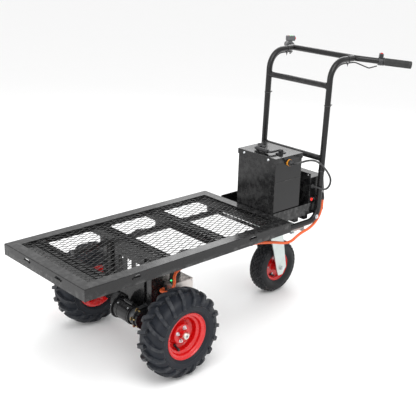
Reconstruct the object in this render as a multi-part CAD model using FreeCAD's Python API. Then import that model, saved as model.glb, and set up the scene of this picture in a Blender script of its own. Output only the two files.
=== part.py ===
import FreeCAD, Part
import math
import os

# Battery powered flat-bed barrow. Millimetres. +X points forward, away from the operator, +Y to the
# operator's left, +Z up. The origin is on the ground under the middle of the machine.

V = FreeCAD.Vector
X, Y, Z = V(1, 0, 0), V(0, 1, 0), V(0, 0, 1)

# ---- Driving dimensions ----------------------------------------------------------------------
BED_FRONT, BED_REAR = 800.0, -200.0     # ends of the load bed
BED_HALF = 256.0                        # half the bed's width
DECK_Z = 446.0                          # top of the bed's angle frame
ANGLE, ANGLE_T = 44.0, 4.0              # leg and thickness of the bed's angle bar
MESH_T = 3.0                            # thickness of the expanded deck
TUBE_R, TUBE_WALL = 12.5, 1.6           # handle and chassis tube
RAIL_Y, RAIL_Z = 170.0, 372.5           # centre of the lower run of each handle tube
RAIL_END = 560.0                        # forward end of the lower run
FOOT_X, HEAD_X = -468.0, -486.0         # the upright leans from its foot to its head
BEND_R = 60.0                           # radius of the tube bend at the foot and the top
BAR_X, BAR_Z = -638.4, 1054.0           # centre of the straight part of the handlebar
BAR_SWEEP, BAR_DROP = 43.0, 5.0         # how far the bar's ends turn back and down, degrees
GRIP_START, GRIP_LENGTH = 108.0, 119.0  # along the swept end
WHEEL_X, WHEEL_R, WHEEL_Y = 407.5, 168.0, 276.0
TYRE_W, RIM_R = 118.0, 90.0
CASTER_X, CASTER_R, CASTER_W = -390.0, 123.0, 84.0
KINGPIN_X = -340.0
CASTER_RIM_R = 66.0
GEAR_MODULE, PINION_TEETH, RING_TEETH = 1.85, 24, 52
GEAR_CENTRES = GEAR_MODULE * (PINION_TEETH + RING_TEETH) / 2
MOTOR_Z, MOTOR_R, MOTOR_BOSS = 190.0, 38.0, 32.0
MOTOR_X = WHEEL_X + math.sqrt(GEAR_CENTRES ** 2 - (MOTOR_Z - WHEEL_R) ** 2)
TRAY_Z, TRAY_HALF, TRAY_H = 400.0, 155.0, 50.0
BATTERY_X0, BATTERY_X1 = -368.0, -199.0 - 3.0
BATTERY_Y0, BATTERY_Y1 = -64.0, 151.0
LID_TOP = 684.0
POWER_X0, POWER_X1, POWER_HALF, POWER_TOP = -517.0, -430.0, 150.0, 561.0
CHARGER_Y = -83.0                       # middle of the charger, across the power box
SLOT_X = [585.0, 15.0]                  # stations of the tie-down slots in the side angles
SLOT_Y = [100.0, -100.0]                # and in the end angles
SLOT_LENGTH, SLOT_H, SLOT_Z = 30.0, 6.0, 434.0
MESH_LONG, MESH_SHORT, STRAND = 50.0, 22.0, 4.2     # diamond pitch along X and Y, strand width
CROSS_W, CROSS_H, CROSS_T = 50.0, 30.0, 3.0
CROSS_X = [-160.0, 130.0, WHEEL_X, 690.0]
SWEEP_START = 182.0                     # half the straight part of the bar
BAR_BEND_R = 55.0
RUNG_Z = [951.0, 643.0]                 # heights of the rungs
POD = {"length": 24.0, "half": 21.0, "low": 22.0, "high": 46.0}
CABLE_R = 2.6
CONDUIT_TIES = [13, 14]                 # the conduit's route points where a tie holds it to the tube
CASE_T = 1.6
SOCKET_X, SOCKET_Z, SOCKET_DEPTH = -284.0, 656.0, 9.0
SEAM_Z = 581.0
SCREW_Y = [-27.0, 110.0]
CARRY_X, CARRY_Y, CARRY_HALF = -284.0, 43.5, 60.0
CARRY_PIVOT_Z = LID_TOP + 9.0
PLUG_END = 24.0
LEAD_R = 4.3
LEAD_ROUTE = [(-284, 173.5, 656), (-287, 195, 661), (-315, 207, 669), (-352, 207, 667),
              (-391, 202, 656), (-428, 198, 637), (-464, 197, 608), (-495, 197, 575),
              (-510, 197, 548), (-502, 197, 521), (-477, 196, 511), (-451, 187, 520),
              (-444, 158, 522)]
SWITCH_X, SWITCH_Z, SWITCH_R = -443.5, 464.0, 6.5
PORT_X, PORT_Z = -471.0, 459.5
POST_Y, POST_W, POST_D, POST_T = 137.0, 27.0, 55.0, 4.0
CASE_Y0, CASE_Y1 = 105.0, 150.0
CASE_R, AXLE_TUBE_R, DRUM_R = 60.0, 23.0, 50.0
SHAFT_R = 10.0
MOTOR_END = 8.0
GEAR_Y, GEAR_W = 112.0, 14.0
GEAR_ANGLE = math.atan2(MOTOR_Z - WHEEL_R, MOTOR_X - WHEEL_X)
CTRL_X0, CTRL_X1, CTRL_Y0, CTRL_Y1, CTRL_Z0, CTRL_Z1 = 272.0, 375.0, 20.0, 196.0, 266.0, 318.0
CONDUIT_R = 6.0
CONDUIT_ROUTE = [(-493, 173, 459), (-492, 173, 423), (-478, 174, 386), (-446, 175, 358),
                 (-404, 180, 346), (-360, 186, 344), (-326, 188, 337), (-294, 189, 322),
                 (-262, 189, 320), (-226, 189, 328), (-180, 189, 343), (-130, 189.2, 355),
                 (-84, 189.3, 365), (-34, 189.1, 371), (86, 189.5, 373), (200, 189.1, 371),
                 (290, 189.4, 372), (340, 191, 369), (367, 198, 354), (369, 205, 328),
                 (379, 207, 305), (396, 199, 294), (404, 181, 291), (402, 158, 291),
                 (375, 158, 291)]
LUGS = 18
DRIVE_RIM_HALF = 47.0
DRIVE_SEAT = [(47.0, RIM_R), (44.0, RIM_R), (39.0, RIM_R - 5.5), (36.0, RIM_R - 10.5),
              (25.0, RIM_R - 12.5), (19.0, RIM_R - 22.5), (2.0, RIM_R - 25.5), (-24.0, RIM_R - 25.5),
              (-32.0, RIM_R - 15.5), (-36.0, RIM_R - 13.5), (-39.0, RIM_R - 5.5), (-44.0, RIM_R),
              (-47.0, RIM_R)]
BOLT_PCD = 50.0
SHAFT_ENDS = {1: (128.0, 322.0), -1: (-322.0, 124.0)}
FORK_INNER, FORK_T = 48.0, 5.5
CROWN_Z = 316.0
CASTER_RIM_HALF = 29.0
CASTER_SEAT = [(29.0, CASTER_RIM_R), (27.0, CASTER_RIM_R), (21.0, CASTER_RIM_R - 2),
               (19.5, CASTER_RIM_R - 7.5), (13.0, CASTER_RIM_R - 9.5), (-13.0, CASTER_RIM_R - 9.5),
               (-19.5, CASTER_RIM_R - 7.5), (-21.0, CASTER_RIM_R - 2), (-27.0, CASTER_RIM_R),
               (-29.0, CASTER_RIM_R)]


# ---- Helpers ---------------------------------------------------------------------------------
def box(x0, x1, y0, y1, z0, z1):
    return Part.makeBox(x1 - x0, y1 - y0, z1 - z0, V(x0, y0, z0))


def cyl(radius, length, base, direction=Z):
    return Part.makeCylinder(radius, length, base, direction)


def ring(outer, inner, length, base, direction=Z):
    return cyl(outer, length, base, direction).cut(cyl(inner, length, base, direction))


def prism(points, direction):
    """A flat polygon given by its corners, pushed along direction."""
    return Part.Face(Part.makePolygon(points + [points[0]])).extrude(direction)


def turned(profile, centre, axis, angle=360.0):
    """A solid turned about axis from (distance along the axis, radius) points."""
    side = axis.cross(X if abs(axis.dot(X)) < 0.5 else Z).normalize()
    points = [centre + axis * along + side * radius for along, radius in profile]
    return Part.Face(Part.makePolygon(points + [points[0]])).revolve(centre, axis, angle)


def softened(shape, radius, pick):
    """shape with the edges rounded that pick(edge) accepts."""
    edges = [e for e in shape.Edges if pick(e)]
    return shape.makeFillet(radius, edges) if edges else shape


def runs_along(direction):
    def pick(edge):
        if edge.Curve.TypeId != "Part::GeomLine":
            return False
        return abs(edge.tangentAt(edge.FirstParameter).dot(direction)) > 0.999
    return pick


def mirrored(shape):
    return shape.mirror(V(0, 0, 0), Y)


def rounded_path(points, radii):
    """Straight runs joined by tangent arcs. radii holds one radius for each inner point."""
    edges, start = [], points[0]
    for corner, after, radius in zip(points[1:], points[2:], radii):
        into = (corner - start).normalize()
        out = (after - corner).normalize()
        turn = into.getAngle(out)
        back = radius * math.tan(turn / 2)
        a, b = corner - into * back, corner + out * back
        bisector = (out - into).normalize()
        centre = corner + bisector * (radius / math.cos(turn / 2))
        middle = centre - bisector * radius
        if (a - start).Length > 1e-6:
            edges.append(Part.LineSegment(start, a).toShape())
        edges.append(Part.Arc(a, middle, b).toShape())
        start = b
    edges.append(Part.LineSegment(start, points[-1]).toShape())
    return Part.Wire(edges)


def swept(points, radii, radius):
    """A round bar of that radius along the path, and the path's length."""
    path = rounded_path(points, radii)
    direction = (points[1] - points[0]).normalize()
    section = Part.Wire([Part.Circle(points[0], direction, radius).toShape()])
    return path.makePipeShell([section], True, False), path.Length


def tube(points, radii, radius=TUBE_R, wall=TUBE_WALL):
    outer, _ = swept(points, radii, radius)
    inner, _ = swept(points, radii, radius - wall)
    return outer.cut(inner)


def cord_radii(points):
    """0.45 of the shorter run over the tangent of half the turn, at each inner point."""
    radii = []
    for before, corner, after in zip(points, points[1:], points[2:]):
        turn = (corner - before).getAngle(after - corner)
        shorter = min((corner - before).Length, (after - corner).Length)
        radii.append(0.45 * shorter / math.tan(turn / 2))
    return radii


def cord(name, points, radius):
    radii = cord_radii(points)
    solid, length = swept(points, radii, radius)
    expected = math.pi * radius ** 2 * length
    print(name, "radii", [round(r) for r in radii], "length", round(length),
          "volume ratio", round(solid.Volume / expected, 4), "valid", solid.isValid())
    return solid


def hex_head(radius, height, base, direction):
    """A hexagon bolt head or nut."""
    side = direction.cross(X if abs(direction.dot(X)) < 0.9 else Z).normalize()
    other = direction.cross(side)
    corners = [base + side * (radius * math.cos(math.radians(60 * i)))
               + other * (radius * math.sin(math.radians(60 * i))) for i in range(6)]
    return prism(corners, direction * height)


def belt(a, radius_a, b, radius_b, direction, width):
    """The solid inside a belt stretched round two discs, width deep along direction."""
    between = b - a
    along = V(between).normalize()
    across = direction.cross(along)
    spread = math.acos((radius_a - radius_b) / between.Length)
    upper = along * math.cos(spread) + across * math.sin(spread)
    lower = along * math.cos(spread) - across * math.sin(spread)
    web = prism([a + upper * radius_a, b + upper * radius_b, b + lower * radius_b, a + lower * radius_a],
                direction * width)
    discs = [cyl(radius_a, width, a, direction), cyl(radius_b, width, b, direction)]
    return web.multiFuse(discs).removeSplitter()


def group(shapes):
    return Part.makeCompound(shapes)


# ---- Bed -------------------------------------------------------------------------------------


def stadium_cut(centre, along, through):
    """The cutter of one slot, along a horizontal direction."""
    half = SLOT_LENGTH / 2 - SLOT_H / 2
    base = centre - through * 6
    bar = prism([base + along * a + Z * b for a, b in
                 ((-half, -SLOT_H / 2), (half, -SLOT_H / 2), (half, SLOT_H / 2), (-half, SLOT_H / 2))],
                through * 12)
    ends = [cyl(SLOT_H / 2, 12, base + along * s, through) for s in (-half, half)]
    return bar.multiFuse(ends).removeSplitter()


def lance(centre, along, outward):
    """The pressed lip under a slot, which a strap hook bears on."""
    top, bottom, reach = -SLOT_H / 2 - 1, -SLOT_H / 2 - 7, 4.0
    half = SLOT_LENGTH / 2 + 3
    profile = [centre + Z * bottom, centre + Z * top, centre + Z * top + outward * reach,
               centre + Z * (bottom + 3) + outward * reach]
    return prism([p - along * half for p in profile], along * (2 * half))


def bed_angles():
    x0, x1, w, t = BED_REAR, BED_FRONT, BED_HALF, ANGLE_T
    low = DECK_Z - ANGLE
    frame = box(x0, x1, -w, w, low, DECK_Z)
    frame = softened(frame, 3.0, lambda e: abs(e.CenterOfMass.z - DECK_Z) < 1e-3)
    frame = frame.cut(box(x0 + t, x1 - t, -w + t, w - t, low - 1, DECK_Z - t))
    frame = frame.cut(box(x0 + ANGLE, x1 - ANGLE, -w + ANGLE, w - ANGLE, low, DECK_Z + 1))
    lances = []
    for x in SLOT_X:
        for side in (1, -1):
            centre, outward = V(x, side * w, SLOT_Z), Y * side
            frame = frame.cut(stadium_cut(centre, X, outward))
            lances.append((centre, X, outward))
    for y in SLOT_Y:
        for end, outward in ((x1, X), (x0, X * -1)):
            centre = V(end, y, SLOT_Z)
            frame = frame.cut(stadium_cut(centre, Y, outward))
            if end == x1:
                lances.append((centre, Y, outward))
    frame = frame.multiFuse([lance(*spec) for spec in lances])
    over, low, high = 10.0, V(0, 0, low - 1), Z * (ANGLE + 2)
    wedges = {
        "bed_front_angle": [V(x1 + over, w + over, 0), V(x1 + over, -w - over, 0), V(x1 - w, 0, 0)],
        "bed_rear_angle": [V(x0 - over, w + over, 0), V(x0 - over, -w - over, 0), V(x0 + w, 0, 0)],
        "bed_left_angle": [V(x1 + over, w + over, 0), V(x0 - over, w + over, 0), V(x0 + w, 0, 0),
                           V(x1 - w, 0, 0)],
        "bed_right_angle": [V(x1 + over, -w - over, 0), V(x0 - over, -w - over, 0), V(x0 + w, 0, 0),
                            V(x1 - w, 0, 0)],
    }
    return {name: frame.common(prism([p + low for p in corners], high))
            for name, corners in wedges.items()}


def deck_mesh():
    """Expanded steel sheet under the bed's flanges: staggered diamonds."""
    x0, x1, w = BED_REAR + 6, BED_FRONT - 6, BED_HALF - 6
    z = DECK_Z - ANGLE_T - MESH_T
    outline = [V(x0, -w, z), V(x1, -w, z), V(x1, w, z), V(x0, w, z)]
    outer = Part.makePolygon(outline + [outline[0]])
    a, b = MESH_LONG / 2 - STRAND * 1.2, MESH_SHORT / 2 - STRAND * 0.55
    rows = int((2 * w - 60) / MESH_SHORT)
    columns = int((x1 - x0 - 60) / MESH_LONG)
    middle = (x0 + x1) / 2
    holes = []
    for row in range(-rows, rows + 1):
        odd = row % 2
        for column in range(columns + 1 - odd):
            cx = middle + (column - (columns - odd) / 2) * MESH_LONG
            cy = row * MESH_SHORT / 2
            corners = [V(cx - a, cy, z), V(cx, cy - b, z), V(cx + a, cy, z), V(cx, cy + b, z)]
            holes.append(Part.makePolygon(corners + [corners[0]]))
    return Part.makeFace([outer] + holes, "Part::FaceMakerBullseye").extrude(Z * MESH_T)


def channel(x, half, top, height=CROSS_H, width=CROSS_W, wall=CROSS_T):
    """A cross channel, open downwards."""
    outer = box(x - width / 2, x + width / 2, -half, half, top - height, top)
    return outer.cut(box(x - width / 2 + wall, x + width / 2 - wall, -half, half, top - height, top - wall))


def crossmembers():
    """Channels under the deck, and the ties between the two chassis tubes."""
    top = DECK_Z - ANGLE_T - MESH_T
    parts = [channel(x, BED_HALF - ANGLE_T, top) for x in CROSS_X]
    rail_top = RAIL_Z + TUBE_R
    for x in CROSS_X[:3]:
        for side in (1, -1):
            parts.append(box(x - 20, x + 20, side * RAIL_Y - 8, side * RAIL_Y + 8,
                             rail_top, top - CROSS_H))
    for x in (-215.0, -350.0, -410.0):
        parts.append(box(x - 12, x + 12, -TRAY_HALF, TRAY_HALF, rail_top - 3, TRAY_Z))
    tie_top = RAIL_Z - TUBE_R
    parts += [box(x0, x1, -RAIL_Y, RAIL_Y, tie_top - 4, tie_top)
              for x0, x1 in ((-227.0, -203.0), (48.0, 72.0), (CTRL_X0 + 26, CTRL_X1 - 26))]
    parts += [box(CTRL_X0 + 26, CTRL_X1 - 26, y - 2, y + 2, CTRL_Z1, tie_top - 4)
              for y in (CTRL_Y0 + 14, CTRL_Y1 - 44)]
    return group(parts)


# ---- Handle ----------------------------------------------------------------------------------


def bar_direction(side=1):
    """The way the swept end points, on the left (1) or right (-1)."""
    sweep, drop = math.radians(BAR_SWEEP), math.radians(BAR_DROP)
    return V(-math.sin(sweep) * math.cos(drop), side * math.cos(sweep) * math.cos(drop), -math.sin(drop))


def bar_point(distance, side=1):
    return V(BAR_X, side * SWEEP_START, BAR_Z) + bar_direction(side) * distance


def upright_x(z):
    """The middle of the leaning upright at height z."""
    return FOOT_X + (HEAD_X - FOOT_X) * (z - RAIL_Z) / (BAR_Z - 2 - RAIL_Z)


def handle_tube():
    """The left tube: chassis run, foot bend, upright and the top run back to the bar."""
    points = [V(RAIL_END, RAIL_Y, RAIL_Z), V(FOOT_X, RAIL_Y, RAIL_Z),
              V(HEAD_X, RAIL_Y, BAR_Z - 2), V(BAR_X + TUBE_R - 2, RAIL_Y, BAR_Z)]
    whole = tube(points, [BEND_R, BEND_R + 20])
    return whole.cut(cyl(TUBE_R, 2 * SWEEP_START, V(BAR_X, -SWEEP_START, BAR_Z), Y))


def handlebar():
    end = GRIP_START + GRIP_LENGTH - 4
    points = [bar_point(end, 1), V(BAR_X, SWEEP_START, BAR_Z), V(BAR_X, -SWEEP_START, BAR_Z),
              bar_point(end, -1)]
    return tube(points, [BAR_BEND_R, BAR_BEND_R])


def handle_crossbars():
    """The two rungs between the uprights, coped round them."""
    foot, head = upright_x(600), upright_x(1000)
    lean = V(head - foot, 0, 400)
    uprights = group([cyl(TUBE_R, 400, V(foot, side * RAIL_Y, 600), lean) for side in (1, -1)])
    return group([ring(TUBE_R, TUBE_R - TUBE_WALL, 2 * RAIL_Y, V(upright_x(z), -RAIL_Y, z), Y).cut(uprights)
                  for z in RUNG_Z])


def grip(side):
    """A ribbed rubber sleeve with a flange at its inner end and a closed outer end."""
    base, axis = bar_point(GRIP_START, side), bar_direction(side)
    reach = GRIP_LENGTH
    profile = [(0, TUBE_R), (0, 19.0), (4, 19.0), (6, 16.4), (reach - 6, 16.4), (reach - 2, 17.4),
               (reach, 15.0), (reach, 0), (reach - 3.5, 0), (reach - 3.5, TUBE_R)]
    across = axis.cross(Z).normalize()
    points = [base + axis * a + across * r for a, r in profile]
    body = Part.Face(Part.makePolygon(points + [points[0]])).revolve(base, axis, 360)
    up = across.cross(axis)
    ribs = []
    count = 18
    for i in range(count):
        angle = 2 * math.pi * i / count
        centre = base + axis * 10 + (across * math.cos(angle) + up * math.sin(angle)) * 16.4
        ribs.append(cyl(0.9, reach - 20, centre, axis))
    return body.cut(group(ribs))


def switch_housing():
    """The clamp and box of the direction switch, inboard of the left grip."""
    axis, at = bar_direction(1), bar_point(GRIP_START - 20, 1)
    up = axis.cross(V(-axis.y, axis.x, 0)).normalize()
    up = up if up.z > 0 else up * -1
    across = up.cross(axis)
    clamp = ring(TUBE_R + 5, TUBE_R, 17, at, axis)
    lo, hi = TUBE_R + 2, TUBE_R + 20
    corners = [(0, -12), (17, -12), (17, 12), (0, 12)]
    pod = prism([at + axis * a + across * c + up * lo for a, c in corners], up * (hi - lo))
    pod = pod.makeFillet(2.5, pod.Edges)
    pod = pod.cut(cyl(TUBE_R + 5, 17, at, axis))
    well = prism([at + axis * a + across * c + up * (hi - 9) for a, c in
                  ((3, -9), (14, -9), (14, 9), (3, 9))], up * 10)
    return clamp.fuse(pod).cut(well), (at, axis, across, up, hi)


def direction_rocker(frame):
    """The rocker in the switch box, on a pivot along the bar."""
    at, axis, across, up, hi = frame
    profile = [(-7.5, 4.2), (7.5, 1.2), (7.5, -4.0), (-7.5, -4.0)]
    return prism([at + axis * 3.5 + across * c + up * (hi + h) for c, h in profile], axis * 10)


def throttle_frame():
    axis, at = bar_direction(-1), bar_point(GRIP_START - 27, -1)
    across = axis.cross(Z).normalize()
    up = across.cross(axis).normalize()
    return at, axis, across, up if up.z > 0 else up * -1


def local_box(frame, a0, a1, c0, c1, u0, u1):
    """A box between two stations along the bar, across it and above it."""
    at, axis, across, up = frame
    return prism([at + axis * a + across * c + up * u0 for a, c in
                  ((a0, c0), (a1, c0), (a1, c1), (a0, c1))], up * (u1 - u0))


def throttle_housing():
    """The thumb throttle's clamp and drum, and the charge display above them."""
    frame = throttle_frame()
    at, axis, across, up = frame
    clamp = ring(TUBE_R + 7.5, TUBE_R, 22, at, axis)
    neck = local_box(frame, 2, 18, -9, 9, TUBE_R + 4, POD["low"] + 2)
    neck = neck.cut(cyl(TUBE_R + 6, 22, at, axis))
    pod = local_box(frame, -2, POD["length"] - 2, -POD["half"], POD["half"], POD["low"], POD["high"])
    pod = pod.makeFillet(4.0, pod.Edges)
    whole = clamp.multiFuse([neck, pod])
    window = local_box(frame, 3, POD["length"] - 7, -POD["half"] + 6, POD["half"] - 12,
                       POD["high"] - 1.5, POD["high"] + 2)
    button = cyl(6.3, 10, at + axis * 10 + up * 34 + across * (POD["half"] - 8), across)
    groove = ring(TUBE_R + 9, TUBE_R + 3.2, 9, at + axis * 7, axis)
    groove = groove.common(local_box(frame, 0, 22, -30, 30, -30, 4))
    return whole.cut(window).cut(button).cut(groove)


def charge_display():
    frame = throttle_frame()
    return local_box(frame, 3.1, POD["length"] - 7.1, -POD["half"] + 6.1, POD["half"] - 12.1,
                     POD["high"] - 1.5, POD["high"] - 0.2)


def power_button():
    """A round push button in the side of the display, towards the operator's front."""
    at, axis, across, up = throttle_frame()
    base = at + axis * 10 + up * 34 + across * (POD["half"] - 5)
    return turned([(0, 0), (0, 6.0), (7.0, 6.0), (8.0, 5.0), (8.0, 0)], base, across)


def throttle_lever():
    """The thumb lever: a ring round the bar in the housing's groove, with a paddle."""
    frame = throttle_frame()
    at, axis, across, up = frame
    hub = ring(TUBE_R + 6.8, TUBE_R + 3.5, 8, at + axis * 7.5, axis)
    hub = hub.common(local_box(frame, 0, 22, 1, 30, -30, -1))
    paddle = local_box(frame, 8, 15, 17, 38, -7, -2)
    tip = local_box(frame, 2, 24, 34, 41, -12, 0)
    tip = tip.makeFillet(2.0, tip.Edges)
    return hub.multiFuse([paddle, tip]).removeSplitter()


def handle_cables():
    """The switch and throttle leads, held against the tubes by ties all the way down."""
    parts = []
    off = TUBE_R + CABLE_R + 0.3
    boot_x, boot_y, boot_z = CONDUIT_ROUTE[0]
    ends = {1: [V(boot_x, boot_y, 510), V(boot_x, boot_y, boot_z + 18)],
            -1: [V(upright_x(520) - off, -RAIL_Y + 6, 520),
                 V(upright_x(500) - off + 4, -POWER_HALF - 1.5, 500)]}
    for side in (1, -1):
        start = bar_point(GRIP_START - 24, side) + V(0, 0, -TUBE_R - 9)
        points = [start, start + V(24, -side * 22, -10),
                  V(BAR_X + 4, side * (RAIL_Y + 4), BAR_Z - off - 1.5),
                  V(HEAD_X - off, side * RAIL_Y, BAR_Z - off - 2),
                  V(upright_x(560) - off, side * RAIL_Y, 560)]
        radii = [15, 26, BEND_R + 20 - off, 40, 30]
        parts.append(swept(points + ends[side], radii, CABLE_R)[0])
    return group(parts)


def tie_band(tube_centre, cable_centre, cable_r, axis, width=4.0):
    """A tie round a tube and a cable beside it, with its head and cut tail."""
    side = V(cable_centre - tube_centre).normalize()
    back = axis * (width / 2)
    outer = belt(tube_centre - back, TUBE_R + 1.5, cable_centre - back, cable_r + 1.5, axis, width)
    inner = belt(tube_centre - back, TUBE_R + 0.05, cable_centre - back, cable_r + 0.05, axis, width)
    head = cyl(3.0, 5.0, cable_centre + side * (cable_r + 0.5), side)
    tail = cyl(1.1, 9.0, cable_centre + side * (cable_r + 3), side)
    return outer.cut(inner).multiFuse([head, tail])


def cable_ties():
    parts = []
    off = TUBE_R + CABLE_R + 0.3
    for side in (1, -1):
        for z in (870.0, 590.0):
            centre = V(upright_x(z), side * RAIL_Y, z)
            parts.append(tie_band(centre, centre - X * off, CABLE_R, Z))
        centre = V(-592.0, side * RAIL_Y, BAR_Z - 1)
        parts.append(tie_band(centre, centre - Z * (off + 0.6), CABLE_R, X))
    for index in CONDUIT_TIES:
        conduit = V(*CONDUIT_ROUTE[index])
        parts.append(tie_band(V(conduit.x, RAIL_Y, RAIL_Z), conduit, CONDUIT_R, X))
    return group(parts)


def conduit_boot():
    """The tapered rubber boot where the switch lead runs into the conduit."""
    top = V(*CONDUIT_ROUTE[0]) + Z * 30
    boot = turned([(0, 0), (0, 4.5), (22, CONDUIT_R + 1.5), (30, CONDUIT_R + 1.5), (30, 0)], top, Z * -1)
    return boot.cut(cyl(CABLE_R, 14, top - Z * 14, Z))


# ---- Boxes behind the bed --------------------------------------------------------------------
def battery_tray():
    """The sheet tray that both boxes sit in, with folded sides."""
    x0, x1, y, t = -525.0, BED_REAR - 2.5, TRAY_HALF, 3.0
    floor = box(x0, x1, -y, y, TRAY_Z, TRAY_Z + t)
    sides = [box(x0, x1, s * y - (t if s > 0 else 0), s * y + (0 if s > 0 else t),
                 TRAY_Z, TRAY_Z + TRAY_H) for s in (1, -1)]
    ends = [box(x1 - t, x1, -y, y, TRAY_Z, TRAY_Z + 36), box(x0, x0 + t, -y, y, TRAY_Z, TRAY_Z + 36)]
    return floor.multiFuse(sides + ends).removeSplitter()


def battery_case():
    x0, x1 = BATTERY_X0, BATTERY_X1 - 3.7
    y0, y1, z0, z1 = BATTERY_Y0 + 1.5, BATTERY_Y1 - 1.5, TRAY_Z + 3.0, LID_TOP - 4
    shell = box(x0 + 1.5, x1, y0, y1, z0, z1)
    shell = softened(shell, 2.5, runs_along(Z))
    shell = shell.cut(box(x0 + 1.5 + CASE_T, x1 - CASE_T, y0 + CASE_T, y1 - CASE_T, z0 + CASE_T, z1 + 1))
    hole = cyl(11.0, 20, V(SOCKET_X, y1 - 10, SOCKET_Z), Y)
    bead = box(x0 + 6, x1 - 6, y1 - 0.4, y1 + 1.0, SEAM_Z - 1.2, SEAM_Z + 1.2)
    return shell.cut(hole).fuse(bead).removeSplitter()


def battery_lid():
    """Folded lid with a skirt that overhangs the case."""
    x0, x1 = BATTERY_X0 - 1.0, BATTERY_X1 - 0.8
    y0, y1, z1 = BATTERY_Y0 - 1.0, BATTERY_Y1 + 1.0, LID_TOP
    skirt = 22.0
    lid = box(x0, x1, y0, y1, z1 - skirt, z1)
    lid = softened(lid, 2.0, runs_along(Z))
    lid = softened(lid, 1.2, lambda e: abs(e.CenterOfMass.z - z1) < 1e-3)
    lid = lid.cut(box(x0 + CASE_T, x1 - CASE_T, y0 + CASE_T, y1 - CASE_T, z1 - skirt - 1, z1 - CASE_T))
    return lid.cut(cyl(14.3, 8, V(SOCKET_X, y1 - 4, SOCKET_Z), Y))


def dome_screw(base, direction, head=5.5, shank=3.0, depth=9.0):
    dome = Part.makeSphere(head, base - direction * (head * 0.45), direction, 0, 90, 360)
    keep = cyl(head + 1, head, base, direction)
    return dome.common(keep).fuse(cyl(shank, depth, base - direction * depth, direction))


def lid_screws():
    parts = []
    for y in SCREW_Y:
        parts.append(dome_screw(V(BATTERY_X1 - 0.8, y, LID_TOP - 12), X))
        parts.append(dome_screw(V(BATTERY_X0 - 1.0, y, LID_TOP - 12), X * -1))
    return group(parts)


def carry_brackets():
    """The two saddles that the folding carry handle turns in, and the plate under them."""
    parts = []
    for side in (1, -1):
        y = CARRY_Y + side * CARRY_HALF
        foot = box(CARRY_X - 24, CARRY_X + 24, y - 9, y + 9, LID_TOP, LID_TOP + 3)
        foot = softened(foot, 3.0, runs_along(Z))
        ear = box(CARRY_X - 8, CARRY_X + 8, y - 6, y + 6, LID_TOP + 3, CARRY_PIVOT_Z + 1)
        ear = ear.fuse(cyl(8, 12, V(CARRY_X, y - 6, CARRY_PIVOT_Z + 1), Y))
        bore = cyl(4.8, 14, V(CARRY_X, y - 7, CARRY_PIVOT_Z + 1), Y)
        screws = [dome_screw(V(CARRY_X + dx, y, LID_TOP + 3), Z, 3.5, 1.8, 6) for dx in (-17, 17)]
        parts += [foot.fuse(ear).cut(bore).cut(group(screws))] + screws
    return group(parts)


def carry_handle():
    """A bail of round bar with a thick sleeve, folded flat towards the bed."""
    z, reach = CARRY_PIVOT_Z + 1, 48.0
    inner = CARRY_HALF - 13.0
    left, right = CARRY_Y + CARRY_HALF + 5.5, CARRY_Y - CARRY_HALF - 5.5
    a, b = CARRY_Y + inner, CARRY_Y - inner
    points = [V(CARRY_X, left, z), V(CARRY_X, a, z), V(CARRY_X + reach, a, z),
              V(CARRY_X + reach, b, z), V(CARRY_X, b, z), V(CARRY_X, right, z)]
    bail, _ = swept(points, [6, 12, 12, 6], 4.5)
    sleeve = turned([(-32, 0), (-32, 7.2), (-28, 8.2), (28, 8.2), (32, 7.2), (32, 0)],
                    V(CARRY_X + reach, CARRY_Y, z), Y)
    return bail.fuse(sleeve)


def batteries():
    """Two sealed batteries side by side inside the case."""
    parts = []
    gap, floor = 2.0, TRAY_Z + 3.0 + CASE_T + 0.4
    x0, x1 = BATTERY_X0 + 9, BATTERY_X1 - 11
    middle = (BATTERY_Y0 + BATTERY_Y1) / 2
    for y0, y1 in ((BATTERY_Y0 + 8, middle - gap / 2), (middle + gap / 2, BATTERY_Y1 - 8)):
        body = softened(box(x0, x1, y0, y1, floor, floor + 176), 3.0, runs_along(Z))
        posts = [cyl(6, 12, V(x, (y0 + y1) / 2, floor + 175), Z) for x in (x0 + 22, x1 - 22)]
        parts.append(body.multiFuse(posts))
    return group(parts)


def battery_socket():
    """The round panel socket on the case's left side, with its flange ring."""
    base = V(SOCKET_X, BATTERY_Y1 - 1.5, SOCKET_Z)
    flange = ring(14.0, 9.6, 6.0, base, Y)
    barrel = ring(10.8, 9.6, SOCKET_DEPTH + 6.0, base - Y * SOCKET_DEPTH, Y)
    return flange.fuse(barrel).fuse(cyl(10.8, 3, base - Y * SOCKET_DEPTH, Y))


def battery_plug():
    """The plug in the socket, with a tapered boot that the lead leaves."""
    base = V(SOCKET_X, BATTERY_Y1 - 1.5, SOCKET_Z)
    tip = 3.3 - SOCKET_DEPTH
    profile = [(tip, 0), (tip, 9.3), (6.4, 9.3), (6.4, 12.0), (14, 12.0), (16, 9.0), (PLUG_END, 6.0),
               (PLUG_END, 0)]
    return turned(profile, base, Y)


def battery_lead():
    return cord("battery_lead", [V(*p) for p in LEAD_ROUTE], LEAD_R)


def power_box_case():
    """The switch and charging box between the uprights."""
    x0, x1, y, z0, z1 = POWER_X0, POWER_X1, POWER_HALF, TRAY_Z + 3.0, POWER_TOP
    shell = softened(box(x0, x1, -y, y, z0, z1), 2.0, runs_along(X))
    shell = softened(shell, 1.0, lambda e: abs(e.CenterOfMass.x - x0) < 1e-3)
    shell = shell.cut(box(x0 + CASE_T, x1 + 1, -y + CASE_T, y - CASE_T, z0 + CASE_T, z1 - CASE_T))
    gland_x, _, gland_z = LEAD_ROUTE[-1]
    for x, z, r in ((SWITCH_X, SWITCH_Z, SWITCH_R + 0.05), (PORT_X, PORT_Z, 6.85), (gland_x, gland_z, 6.0)):
        shell = shell.cut(cyl(r, 12, V(x, y - 6, z), Y))
    gland = ring(7.5, LEAD_R + 0.05, 12.0, V(gland_x, y - 4, gland_z), Y)
    return shell.fuse(gland)


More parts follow.
